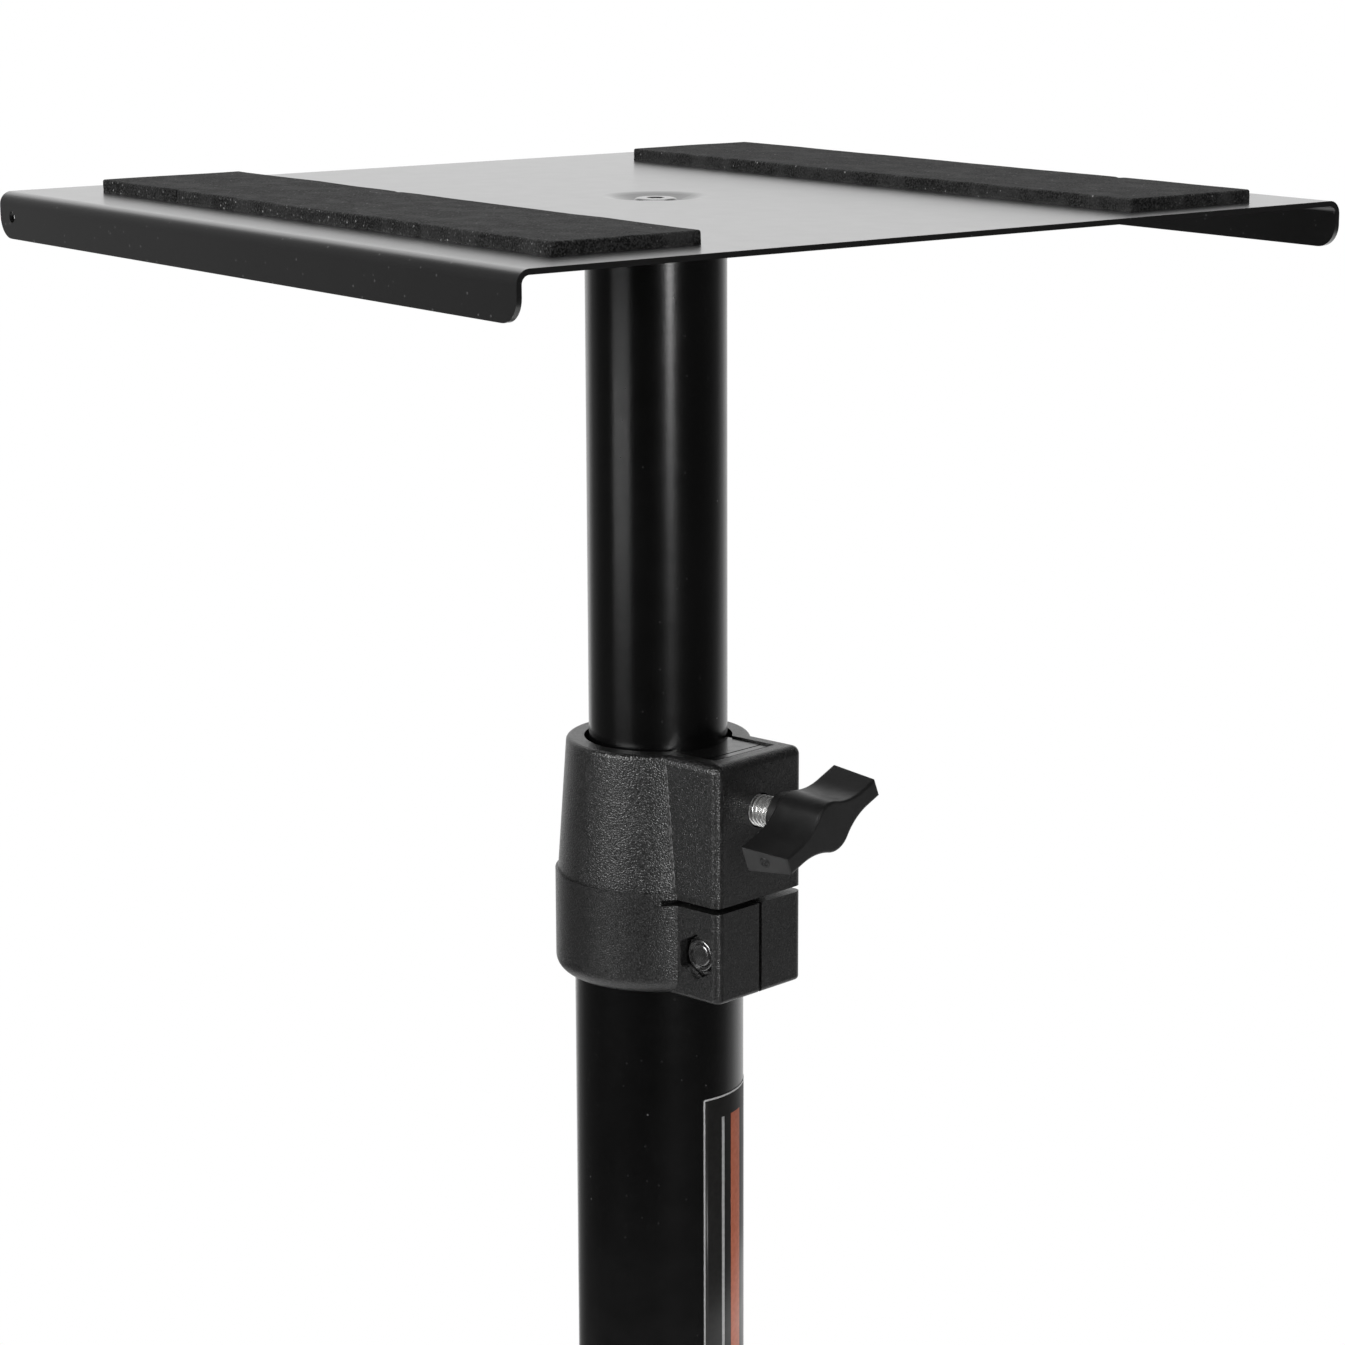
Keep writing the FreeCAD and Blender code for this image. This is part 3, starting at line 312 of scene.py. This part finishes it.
def foam():
    """Closed-cell foam: charcoal, cloudy along its length, with fine pores and a pale speckle."""
    settings = {"Specular IOR Level": 0.12, "Sheen Weight": 0.02, "Sheen Roughness": 0.6}
    made = Surface("foam", settings)
    grain = made.spread(made.noise(2200, 1), 0.4, 0.66, 0, 1)
    base = made.mix(grain, grey(0.005), grey(0.036))
    cloud = made.spread(made.noise(160, 4, (1.2, 0.8, 1)), 0.44, 0.66, 0, 0.7)
    base = made.mix(cloud, base, grey(0.04))
    for scale, radius, share, level in FOAM_SPECKS:
        base = made.mix(made.specks(scale, radius, share), base, grey(level))
    made.colour(base)
    made.gloss(700, 2, 0.8, 0.95)
    cells = made.add("ShaderNodeTexVoronoi", {"Vector": made.place, "Scale": 1400.0})
    pores = cells.outputs["Distance"]
    made.relief((pores, 220 * MICRON), (made.noise(420, 3), 240 * MICRON))
    return made.material


def foot_rubber():
    """Matt black rubber, dusty in its pores."""
    made = Surface("foot_rubber", {"IOR": 1.45})
    base = made.mottle(120, 4, grey(0.012), grey(0.022))
    made.colour(made.mix(made.specks(500, 300 * MICRON, 0.2), base, grey(0.09)))
    made.gloss(600, 3, 0.68, 0.88)
    made.relief((made.noise(1300, 3), 50 * MICRON), (made.noise(200, 2), 60 * MICRON))
    return made.material


FILM_GLOSS_RANGE = 0.1


def film(name, first, second, roughness):
    """Printed vinyl film: even colour, faint print mottle and a soft gloss."""
    made = Surface(name, {"IOR": 1.46})
    made.colour(made.mottle(800, 3, first, second))
    made.gloss(90, 3, roughness, roughness + FILM_GLOSS_RANGE)
    made.relief((made.noise(330, 2), 12 * MICRON))
    return made.material


# Materials of the record's slots.
MATERIALS = {
    "black_coat": black_coat("black_coat", 0.2, 0.23, 12 * MICRON, 0.0, 0.015),
    "collar_moulding": collar_moulding(joints["shoe_slide"]["axis"]),
    "knob_moulding": knob_moulding(),
    "shoe_nylon": nylon("shoe_nylon", 0.16, 0.24),
    "bush_nylon": nylon("bush_nylon", 0.35, 0.5),
    "black_steel": black_steel(),
    "zinc": metal("zinc", (0.66, 0.67, 0.67, 1), (0.82, 0.82, 0.8, 1), 0.24, 0.32),
    "brass": metal("brass", (0.6, 0.43, 0.17, 1), (0.76, 0.58, 0.27, 1), 0.22, 0.4),
    "foam": foam(),
    "foot_rubber": foot_rubber(),
}
# Nodes whose coat is smoother than their slot's.
NODE_COATS = {
    "tray": black_coat("sheet_coat", 0.28, 0.31, 2 * MICRON, 1.0, 0.07),
    "tray_screw": black_coat("screw_coat", 0.2, 0.26, 2 * MICRON, 1.0, 0.07),
}
SEAM_MOULDING = seam_moulding()
THREAD_ZINC = thread_zinc()
LABEL_FILM = film("label_film", grey(0.016, 0.03), grey(0.021, 0.03), 0.3)
LABEL_LINE = film("label_line", grey(0.5), grey(0.6), 0.35)
LABEL_STRIPE = film("label_stripe", (0.62, 0.17, 0.09, 1), (0.7, 0.21, 0.12, 1), 0.35)

for part in frame["record"]["subparts"]:
    node_mesh = frame["nodes"][part["node"]].data
    node_mesh.materials.clear()
    node_mesh.materials.append(NODE_COATS.get(part["node"], MATERIALS[part["material_slot"]]))


def piece(name, points, faces, body, material):
    """New mesh piece, smooth shaded, that rides on a body."""
    mesh = bpy.data.meshes.new(name)
    mesh.from_pydata(points, [], faces)
    mesh.update()
    mesh.shade_smooth()
    mesh.materials.append(material)
    made = bpy.data.objects.new(name, mesh)
    bpy.context.scene.collection.objects.link(made)
    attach(made, body)
    return made


def axis_and_centre(joint):
    """A joint's direction and a point on it."""
    return Vector(joints[joint]["axis"]).normalized(), Vector(joints[joint]["pos_m"])


def around(axis):
    """Two directions square to an axis, which with it make a right-handed set."""
    side = axis.cross(UP).normalized()
    return side, axis.cross(side)


def spokes(axis, count):
    """Directions square to an axis, evenly round it."""
    side, over = around(axis)
    angles = [2 * math.pi * turn / count for turn in range(count)]
    return [side * math.cos(angle) + over * math.sin(angle) for angle in angles]


def ring_faces(rings, count, start=0, flip=False):
    """Quads between closed rings of count points, which follow each other from a start."""
    faces = []
    for ring in range(rings - 1):
        first = start + ring * count
        second = first + count
        for i in range(count):
            after = (i + 1) % count
            quad = (first + i, second + i, second + after, first + after)
            faces.append(quad[:1] + quad[:0:-1] if flip else quad)
    return faces


FOAM_ROUND = 0.5 * MM
FOAM_ROUND_STEPS = 4
FOAM_STEP = 2.4 * MM
FOAM_LEVELS = (0, 0.2, 0.4, 0.6, 0.76)
FOAM_TOP_ROUND = (1, 0.75, 0.5, 0.25, 0)
FOAM_SIDE_WAVE = 0.3 * MM
FOAM_TOP_WAVE = 0.1 * MM
FOAM_TOP_SINK = 0.4
# Noise per metre of strip, for the sides' long and short waves, the ends and the top.
LONG_WAVE = 55
SHORT_WAVE = 240
END_WAVE = 70
TOP_WAVE = 60
SHORT_SHARE = 0.5
# Noise over the strip's width or length, and over its height.
SPAN_DRIFT = 0.6
LEVEL_DRIFT = 0.5
SHORT_LEVEL_DRIFT = 2
# Powers with which the waves and nicks die away from the sides inwards.
SIDE_POWER = 3
END_POWER = 9
NICK_POWER = 6
NICK_DROP = 0.4
NICK_STEPS = (-2.0, -1.3, -0.8, -0.4, 0.0, 0.4, 0.8, 1.3, 2.0)


def graded(low, high, edge, count, step):
    """Places from low to high: count close ones within edge of each end, others a step apart."""
    inner = max(2, round((high - low - 2 * edge) / step))
    near = [low + edge * i / count for i in range(count)]
    middle = [low + edge + (high - low - 2 * edge) * i / inner for i in range(inner + 1)]
    return near + middle + [low + high - x for x in reversed(near)]


def lattice(xs, ys, zs):
    """Points and faces of the closed outside of a box lattice."""
    points = []
    index = {}

    def at(i, j, k):
        if (i, j, k) not in index:
            index[i, j, k] = len(points)
            points.append(Vector((xs[i], ys[j], zs[k])))
        return index[i, j, k]

    faces = []
    last = [len(xs) - 1, len(ys) - 1, len(zs) - 1]
    for axis in range(3):
        a, b = (axis + 1) % 3, (axis + 2) % 3
        for end in (0, last[axis]):
            for i in range(last[a]):
                for j in range(last[b]):
                    ring = []
                    for da, db in ((0, 0), (1, 0), (1, 1), (0, 1)):
                        place = [0, 0, 0]
                        place[axis], place[a], place[b] = end, i + da, j + db
                        ring.append(at(*place))
                    faces.append(ring if end else ring[::-1])
    return points, faces


def foam_strip(name, node, seed, nicks):
    """Hand-cut foam strip: soft edges, wavy sides, an uneven top and a few nicks in the sides."""
    low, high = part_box(node)
    rise = high.z - low.z
    xs = graded(low.x, high.x, FOAM_ROUND, FOAM_ROUND_STEPS, FOAM_STEP)
    ys = graded(low.y, high.y, FOAM_ROUND, FOAM_ROUND_STEPS, FOAM_STEP)
    ys += [place + width * step for place, side, width, depth in nicks for step in NICK_STEPS]
    zs = [low.z + rise * share for share in FOAM_LEVELS]
    zs += [high.z - FOAM_ROUND * share for share in FOAM_TOP_ROUND]
    points, faces = lattice(xs, sorted(ys), zs)
    inner_low = low + Vector((FOAM_ROUND, FOAM_ROUND, 0))
    inner_high = high - Vector((FOAM_ROUND, FOAM_ROUND, FOAM_ROUND))
    middle = (low + high) / 2
    half = (high - low) / 2
    for point in points:
        core = Vector([min(max(p, a), b) for p, a, b in zip(point, inner_low, inner_high)])
        off = point - core
        if off.length > 0:
            point[:] = core + off.normalized() * FOAM_ROUND
        across = (point.x - middle.x) / half.x
        along = (point.y - middle.y) / half.y
        level = (point.z - low.z) / rise
        drift = level * LEVEL_DRIFT
        wave = noise.noise(Vector((across * SPAN_DRIFT + seed, point.y * LONG_WAVE, drift)))
        short_drift = level * SHORT_LEVEL_DRIFT + across
        wave += SHORT_SHARE * noise.noise(Vector((seed, point.y * SHORT_WAVE, short_drift)))
        point.x += FOAM_SIDE_WAVE * wave * abs(across) ** SIDE_POWER
        wave = noise.noise(Vector((point.x * END_WAVE, along * SPAN_DRIFT + seed, drift)))
        point.y += FOAM_SIDE_WAVE * wave * abs(along) ** END_POWER
        swell = noise.noise(Vector((point.x * TOP_WAVE, point.y * TOP_WAVE, seed)))
        point.z += FOAM_TOP_WAVE * (swell - FOAM_TOP_SINK) * level
        for place, side, width, depth in nicks:
            share = math.exp(-((point.y - place) / width) ** 2)
            if across * side > 0:
                cut = depth * share * abs(across) ** NICK_POWER
                point.x -= side * cut
                point.z -= NICK_DROP * cut * level
    made = piece(name, points, faces, "upper_mast", MATERIALS["foam"])
    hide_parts(node)


# Place along the strip, side, width and depth of each nick.
LEFT_NICKS = [
    (0.059, -1, 0.35 * MM, 1.1 * MM),
    (-0.0478, -1, 0.9 * MM, 0.6 * MM),
    (0.02, 1, 1.2 * MM, 0.3 * MM),
]
RIGHT_NICKS = [
    (0.05, -1, 0.8 * MM, 0.35 * MM),
    (-0.06, 1, 1.0 * MM, 0.4 * MM),
]
LEFT_SEED = 1.7
RIGHT_SEED = 5.3
foam_strip("foam_strip_left", "foam_pad_left", LEFT_SEED, LEFT_NICKS)
foam_strip("foam_strip_right", "foam_pad_right", RIGHT_SEED, RIGHT_NICKS)


THREAD_RADIUS = 4.0 * MM
THREAD_PITCH = 1.25 * MM
THREAD_DEPTH = 0.62 * THREAD_PITCH
THREAD_ROUND = 40
THREAD_ROWS = 18
# Shares of half a pitch: where the flank starts beside the crest, and how long it is.
FLANK_START = 0.18
FLANK_LENGTH = 0.66
CHAMFER_DEPTH = 1.15 * THREAD_DEPTH


def threaded_rod(name, node, joint, body):
    """Right-handed rolled thread over the whole of a stud, with a chamfered pressing end."""
    axis, centre = axis_and_centre(joint)
    reach = [(v.co - centre).dot(axis) for v in frame["nodes"][node].data.vertices]
    near, far = min(reach), max(reach)
    rows = round((far - near) / THREAD_PITCH * THREAD_ROWS)
    directions = spokes(axis, THREAD_ROUND)
    points = []
    for row in range(rows + 1):
        place = near + (far - near) * row / rows
        chamfer = THREAD_RADIUS - CHAMFER_DEPTH + (place - near)
        for turn, spoke in enumerate(directions):
            phase = (place / THREAD_PITCH - turn / THREAD_ROUND) % 1.0
            fall = min(max((abs(phase - 0.5) * 2 - FLANK_START) / FLANK_LENGTH, 0), 1)
            fall = fall * fall * (3 - 2 * fall)
            radius = min(THREAD_RADIUS - THREAD_DEPTH * fall, chamfer)
            points.append(centre + axis * place + spoke * radius)
    faces = ring_faces(rows + 1, THREAD_ROUND, flip=True)
    faces.append(tuple(reversed(range(THREAD_ROUND))))
    faces.append(tuple(rows * THREAD_ROUND + turn for turn in range(THREAD_ROUND)))
    made = piece(name, points, faces, body, THREAD_ZINC)
    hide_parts(node)


threaded_rod("clamp_thread", "clamp_stud", "clamp_turn", "clamp_wing")
threaded_rod("leg_lock_thread", "leg_lock_stud", "lock_turn", "lock_wing")


# Radius and height of the mark's rings, in millimetres.
GATE_PROFILE = [
    (0.0, 0.55), (0.32, 0.5), (0.5, 0.06), (0.85, 0.02), (1.0, 0.3), (1.2, 0.34), (1.5, -0.02),
]
GATE_ROUND = 24
# The end face lies further out than this, and turns no more than this towards the axis.
WING_TIP = 17.0 * MM
END_FACE_TILT = 0.15


def gate_mark(name, node, joint, body):
    """Small round mark that the mould's gate leaves on the end face of a knob's lower wing."""
    axis, centre = axis_and_centre(joint)
    total = 0
    place = Vector((0, 0, 0))
    out = Vector((0, 0, 0))
    for face in frame["nodes"][node].data.polygons:
        at_tip = (face.center - centre).dot(face.normal) > WING_TIP
        if at_tip and abs(face.normal.dot(axis)) < END_FACE_TILT and face.normal.z < 0:
            total += face.area
            place += face.center * face.area
            out += face.normal * face.area
    place /= total
    out.normalize()
    points = [place + out * GATE_PROFILE[0][1] * MM]
    for radius, height in GATE_PROFILE[1:]:
        for spoke in spokes(out, GATE_ROUND):
            points.append(place + (out * height + spoke * radius) * MM)
    faces = [(0, 1 + turn, 1 + (turn + 1) % GATE_ROUND) for turn in range(GATE_ROUND)]
    faces += ring_faces(len(GATE_PROFILE) - 1, GATE_ROUND, start=1)
    piece(name, points, faces, body, MATERIALS["knob_moulding"])


gate_mark("clamp_knob_gate", "clamp_knob", "clamp_turn", "clamp_wing")
gate_mark("leg_lock_knob_gate", "leg_lock_knob", "lock_turn", "lock_wing")


SEAM_STEP = 0.4 * MM
SEAM_WIDTH = 0.4 * MM
SEAM_RISE = 0.26 * MM
# Shares of the seam's width and rise across its bead.
SEAM_SECTION = [
    (-1.0, -0.2), (-0.62, 0.42), (-0.28, 0.82), (0.0, 1.0), (0.28, 0.82), (0.62, 0.42), (1.0, -0.2),
]
BOSS_REACH = 27.5 * MM
SEAM_TOP_DROP = 2.1 * MM
SEAM_HEIGHT = 32.4 * MM
SEAM_REACH = 20.5 * MM
SEAM_SIDE_SLACK = 0.02 * MM
# The bead's size wavers by this share, with this much noise for each row.
SEAM_UNEVEN = 0.7
SEAM_UNEVEN_STEP = 0.31
SEAM_SEED = 3.7
# The bead grows to its full size over these rows, from this part of a row at its ends.
SEAM_TAPER_ROWS = 4
SEAM_END = 0.3


def seam_line(axis, across):
    """Points of the join of the collar's cone and a side of its boss, from the parting upwards."""
    corners = [v.co for v in frame["nodes"]["clamp_collar"].data.vertices]
    top = max(corner.z for corner in corners) - SEAM_TOP_DROP
    side = max(corner.dot(across) for corner in corners if corner.dot(axis) > BOSS_REACH)
    found = {}
    for corner in corners:
        on_side = abs(corner.dot(across) - side) < SEAM_SIDE_SLACK
        beside_cone = 0 < corner.dot(axis) < SEAM_REACH
        if on_side and beside_cone and top - SEAM_HEIGHT < corner.z < top:
            found[round(corner.z / MM, 1)] = corner
    return [found[level] for level in sorted(found)]


def collar_seam(name, hand):
    """Seam: a low uneven bead along the join, pale with a painted highlight."""
    axis = axis_and_centre("clamp_turn")[0]
    across = axis.cross(UP) * hand
    line = seam_line(axis, across)
    places = []
    for first, second in zip(line, line[1:]):
        count = round((second - first).length / SEAM_STEP)
        places += [first.lerp(second, i / count) for i in range(count)]
    places.append(line[-1])
    points = []
    for number, place in enumerate(places):
        radial = Vector((place.x, place.y, 0)).normalized()
        back = UP.cross(radial)
        back *= -math.copysign(1, back.dot(axis))
        out = (radial + across).normalized()
        draw = Vector((number * SEAM_UNEVEN_STEP, hand * SEAM_SEED, 0))
        uneven = 1 + SEAM_UNEVEN * noise.noise(draw)
        from_end = min(number, len(places) - 1 - number)
        taper = min(1, (from_end + SEAM_END) / SEAM_TAPER_ROWS)
        for share, rise in SEAM_SECTION:
            along = back * -share if share < 0 else axis * share
            points.append(place + (along * SEAM_WIDTH + out * SEAM_RISE * rise) * uneven * taper)
    wide = len(SEAM_SECTION)
    faces = []
    for row in range(len(places) - 1):
        for i in range(wide - 1):
            first = row * wide + i
            ring = (first, first + 1, first + wide + 1, first + wide)
            faces.append(ring if hand > 0 else ring[::-1])
    piece(name, points, faces, "mast", SEAM_MOULDING)


collar_seam("collar_seam_left", 1)
collar_seam("collar_seam_right", -1)


LABEL_LEFT = math.radians(-96.5)
LABEL_TOP = 704.4 * MM
LABEL_WIDTH = 40.0 * MM
LABEL_HEIGHT = 110.0 * MM
LABEL_CORNER = 0.8 * MM
LABEL_LEAST_CORNER = 0.1 * MM
LABEL_LINE_WIDTH = 0.45 * MM
LABEL_LINE_INSET = 0.2 * MM
LABEL_LINE_END = LABEL_LINE_INSET + LABEL_LINE_WIDTH
LABEL_LIFT = 0.05 * MM
LABEL_EDGE = 0.02 * MM
TUBE_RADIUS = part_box("outer_tube")[1].x
CORNER_STEPS = 6
SIDE_STEPS = 40
FIELD_STEPS = 36


def on_tube(across, down, lift):
    """Point across and down from the label's top left corner, lifted off the tube."""
    heading = LABEL_LEFT + across / TUBE_RADIUS
    radius = TUBE_RADIUS + lift
    return Vector((radius * math.cos(heading), radius * math.sin(heading), LABEL_TOP - down))


def loop(inset):
    """Outline of the label drawn in by an inset: round corners and close points on the sides."""
    corner = max(LABEL_CORNER - inset, LABEL_LEAST_CORNER)
    left, right = inset + corner, LABEL_WIDTH - inset - corner
    top, bottom = inset + corner, LABEL_HEIGHT - inset - corner
    corners = [(right, top, 270), (right, bottom, 0), (left, bottom, 90), (left, top, 180)]
    bends = []
    for x, y, start in corners:
        for i in range(CORNER_STEPS + 1):
            angle = math.radians(start + 90 * i / CORNER_STEPS)
            bends.append((x + corner * math.cos(angle), y + corner * math.sin(angle)))
    points = []
    for number, (first, second) in enumerate(zip(bends, bends[1:] + bends[:1])):
        in_corner = number % (CORNER_STEPS + 1) < CORNER_STEPS
        count = 1 if in_corner else SIDE_STEPS
        for i in range(count):
            points.append(tuple(a + (b - a) * i / count for a, b in zip(first, second)))
    return points


def bands(name, levels, material):
    """Label layer between outlines: levels are (inset, lift) pairs, from the outside in."""
    outlines = [[on_tube(x, y, lift) for x, y in loop(inset)] for inset, lift in levels]
    points = [point for outline in outlines for point in outline]
    faces = ring_faces(len(levels), len(outlines[0]))
    piece(name, points, faces, "mast", material)


def field(name, left, right, top, bottom, lift, material):
    """Label patch with straight sides, lifted off the tube, with its edges turned down."""
    inner = [left + (right - left) * i / FIELD_STEPS for i in range(1, FIELD_STEPS)]
    columns = [left, left] + inner + [right, right]
    rows = [top, top, bottom, bottom]
    wide = len(columns)
    points = []
    for row, down in enumerate(rows):
        for column, across in enumerate(columns):
            edge = row in (0, len(rows) - 1) or column in (0, wide - 1)
            points.append(on_tube(across, down, 0.0 if edge else lift))
    faces = []
    for row in range(len(rows) - 1):
        for column in range(wide - 1):
            first = row * wide + column
            faces.append((first, first + wide, first + wide + 1, first + 1))
    piece(name, points, faces, "mast", material)


EDGE_LEVELS = [(0, 0.0), (LABEL_EDGE, LABEL_LIFT), (LABEL_LINE_INSET, LABEL_LIFT)]
BORDER_LEVELS = [(LABEL_LINE_INSET, LABEL_LIFT), (LABEL_LINE_END, LABEL_LIFT)]
FIELD_RIGHT = LABEL_WIDTH - LABEL_LINE_END
FIELD_BOTTOM = LABEL_HEIGHT - LABEL_LINE_END
FIELD_SIDES = (LABEL_LINE_END, FIELD_RIGHT, LABEL_LINE_END, FIELD_BOTTOM)
# Left, right, top and bottom of the two stripes.
WIDE_STRIPE_SIDES = (10.0 * MM, 15.0 * MM, 6.0 * MM, 104.0 * MM)
THIN_STRIPE_SIDES = (6.2 * MM, 7.2 * MM, 6.0 * MM, 104.0 * MM)
STRIPE_LIFT = LABEL_LIFT + 0.02 * MM
bands("label_edge", EDGE_LEVELS, LABEL_FILM)
bands("label_border", BORDER_LEVELS, LABEL_LINE)
field("label_field", *FIELD_SIDES, LABEL_LIFT, LABEL_FILM)
field("label_stripe_wide", *WIDE_STRIPE_SIDES, STRIPE_LIFT, LABEL_STRIPE)
field("label_stripe_thin", *THIN_STRIPE_SIDES, STRIPE_LIFT, LABEL_LINE)


CAMERA_PLACE = (-0.530545, -0.712451, 1.009881)
CAMERA_HEADING = math.radians(-36.91)
CAMERA_PITCH = math.radians(12.63)
CAMERA_ROLL = math.radians(-0.23)
CAMERA_LENS = 97.04
CAMERA_SENSOR = 36
CAMERA_REACH = 200

view = bpy.data.cameras.new("camera")
view.lens = CAMERA_LENS
view.sensor_width = CAMERA_SENSOR
view.clip_end = CAMERA_REACH
camera = bpy.data.objects.new("camera", view)
level_turn = Matrix.Rotation(CAMERA_HEADING, 4, "Z")
tilt = Matrix.Rotation(math.pi / 2 - CAMERA_PITCH, 4, "X")
roll = Matrix.Rotation(CAMERA_ROLL, 4, "Z")
camera.matrix_world = Matrix.Translation(CAMERA_PLACE) @ level_turn @ tilt @ roll
bpy.context.scene.collection.objects.link(camera)
bpy.context.scene.camera = camera


# Name, place, target, width, height and watts of each lamp.
LAMPS = [
    ("strip", (-0.565, -2.125, 1.09), (0, 0, 1.0), 0.4, 0.8, 20.5),
    ("fill", (-1.8, 0.0, 1.58), (0, 0, 0.85), 0.9, 1.0, 27),
    ("card", (-1.785, 0.2, 0.585), (0, 0, 0.7), 0.95, 0.06, 1.3),
    ("overhead", (0.15, 0.35, 2.6), (0, 0, 0.9), 1.6, 1.6, 27),
]


def lamp(name, place, target, width, height, power):
    """Soft rectangular lamp at a place, turned to a target."""
    light = bpy.data.lights.new(name, "AREA")
    light.shape = "RECTANGLE"
    light.size = width
    light.size_y = height
    light.energy = power
    made = bpy.data.objects.new(name, light)
    made.location = place
    aim = Vector(target) - Vector(place)
    made.rotation_euler = aim.to_track_quat("-Z", "Y").to_euler()
    bpy.context.scene.collection.objects.link(made)


for settings in LAMPS:
    lamp(*settings)


BACKDROP_HEADING = math.radians(50)
BACKDROP_EDGE = 0.9
# Degrees from the backdrop's heading, and how bright the room is there.
ROOM = [
    (-180, 0.04), (-100, 0.06), (-75, 0.08), (-58, 0.15), (-35, 0.7), (-24, 1.0),
    (36, 1.0), (52, 0.3), (76, 0.1), (92, 0.08), (115, 0.05), (180, 0.03),
]
# The walls darken between these heights, to that share.
ROOM_TOP_HEIGHTS = (0.22, 0.6)
ROOM_TOP_SHARE = 0.35
# Below this height the walls lean round, by so many radians over a height of 1.
ROOM_LEAN_BELOW = -0.16
ROOM_LEAN = 2.0
WHITE = (1, 1, 1, 1)


def level_axis(heading):
    return (math.cos(heading), math.sin(heading), 0)


def studio_world():
    """Room with a white backdrop that lights the part, behind a background that looks white."""
    world = bpy.data.worlds.new("studio")
    world.use_nodes = True
    tree = world.node_tree
    tree.nodes.clear()
    direction = add_node(tree, "ShaderNodeTexCoord").outputs["Generated"]
    height = add_node(tree, "ShaderNodeSeparateXYZ", {0: direction}).outputs["Z"]
    side = dot(tree, direction, level_axis(BACKDROP_HEADING + math.pi / 2))
    ahead = dot(tree, direction, level_axis(BACKDROP_HEADING))
    heading = calculate(tree, "ARCTAN2", side, ahead)
    lean = spread(tree, height, ROOM_LEAN_BELOW, -1.0, 0, ROOM_LEAN * (1 + ROOM_LEAN_BELOW))
    leaned = calculate(tree, "ADD", heading, lean)
    share = spread(tree, leaned, -math.pi, math.pi, 0, 1)
    ramp = add_node(tree, "ShaderNodeValToRGB", {"Fac": share})
    stops = ramp.color_ramp.elements
    given = len(stops)
    for number, (degrees, level) in enumerate(ROOM):
        place = degrees / 360 + 0.5
        stop = stops[number] if number < given else stops.new(place)
        stop.position = place
        stop.color = grey(level)
    walls = ramp.outputs["Color"]
    strength = spread(tree, height, *ROOM_TOP_HEIGHTS, 1, ROOM_TOP_SHARE)
    room = add_node(tree, "ShaderNodeBackground", {"Color": walls, "Strength": strength})
    backdrop = add_node(tree, "ShaderNodeBackground", {"Color": WHITE})
    stands = spread(tree, walls, BACKDROP_EDGE, 1, 0, 1)
    reflections = rays(tree, "Is Glossy Ray", "Is Transmission Ray")
    mirrored = calculate(tree, "MULTIPLY", reflections, stands)
    white = calculate(tree, "ADD", rays(tree, "Is Camera Ray"), mirrored, clamp=True)
    sides = {0: white, 1: room.outputs[0], 2: backdrop.outputs[0]}
    shown = add_node(tree, "ShaderNodeMixShader", sides)
    add_node(tree, "ShaderNodeOutputWorld", {"Surface": shown.outputs[0]})
    return world


bpy.context.scene.world = studio_world()


FLOOR_RADIUS = 1.2
FLOOR_POINTS = 96
FLOOR_NEAR = 0.6
FLOOR_FAR = 1.15
FLOOR_GREY = 0.86
FLOOR_ROUGHNESS = 0.9


def floor_paper():
    """Pale matt paper that fades to the white background towards its rim."""
    paper = bpy.data.materials.new("floor_paper")
    paper.use_nodes = True
    tree = paper.node_tree
    surface = tree.nodes["Principled BSDF"]
    surface.inputs["Base Color"].default_value = grey(FLOOR_GREY)
    surface.inputs["Roughness"].default_value = FLOOR_ROUGHNESS
    place = add_node(tree, "ShaderNodeTexCoord").outputs["Object"]
    length = add_node(tree, "ShaderNodeVectorMath", {0: place}, operation="LENGTH")
    limits = {"Value": length.outputs["Value"], "From Min": FLOOR_NEAR, "From Max": FLOOR_FAR}
    fade = add_node(tree, "ShaderNodeMapRange", limits, interpolation_type="SMOOTHSTEP")
    seen = rays(tree, "Is Camera Ray", "Is Glossy Ray", "Is Transmission Ray")
    share = calculate(tree, "MULTIPLY", fade.outputs["Result"], seen)
    glow = add_node(tree, "ShaderNodeEmission", {"Strength": 1.0})
    sides = {0: share, 1: surface.outputs[0], 2: glow.outputs[0]}
    mixed = add_node(tree, "ShaderNodeMixShader", sides)
    tree.links.new(mixed.outputs[0], tree.nodes["Material Output"].inputs["Surface"])
    return paper


floor_mesh = bpy.data.meshes.new("floor")
angles = [2 * math.pi * i / FLOOR_POINTS for i in range(FLOOR_POINTS)]
rim = [(FLOOR_RADIUS * math.cos(angle), FLOOR_RADIUS * math.sin(angle), 0) for angle in angles]
floor_mesh.from_pydata(rim, [], [tuple(range(FLOOR_POINTS))])
floor_mesh.materials.append(floor_paper())
floor = bpy.data.objects.new("floor", floor_mesh)
floor.location.z = cad_box[0].z
bpy.context.scene.collection.objects.link(floor)

bpy.context.scene.view_settings.view_transform = "Standard"
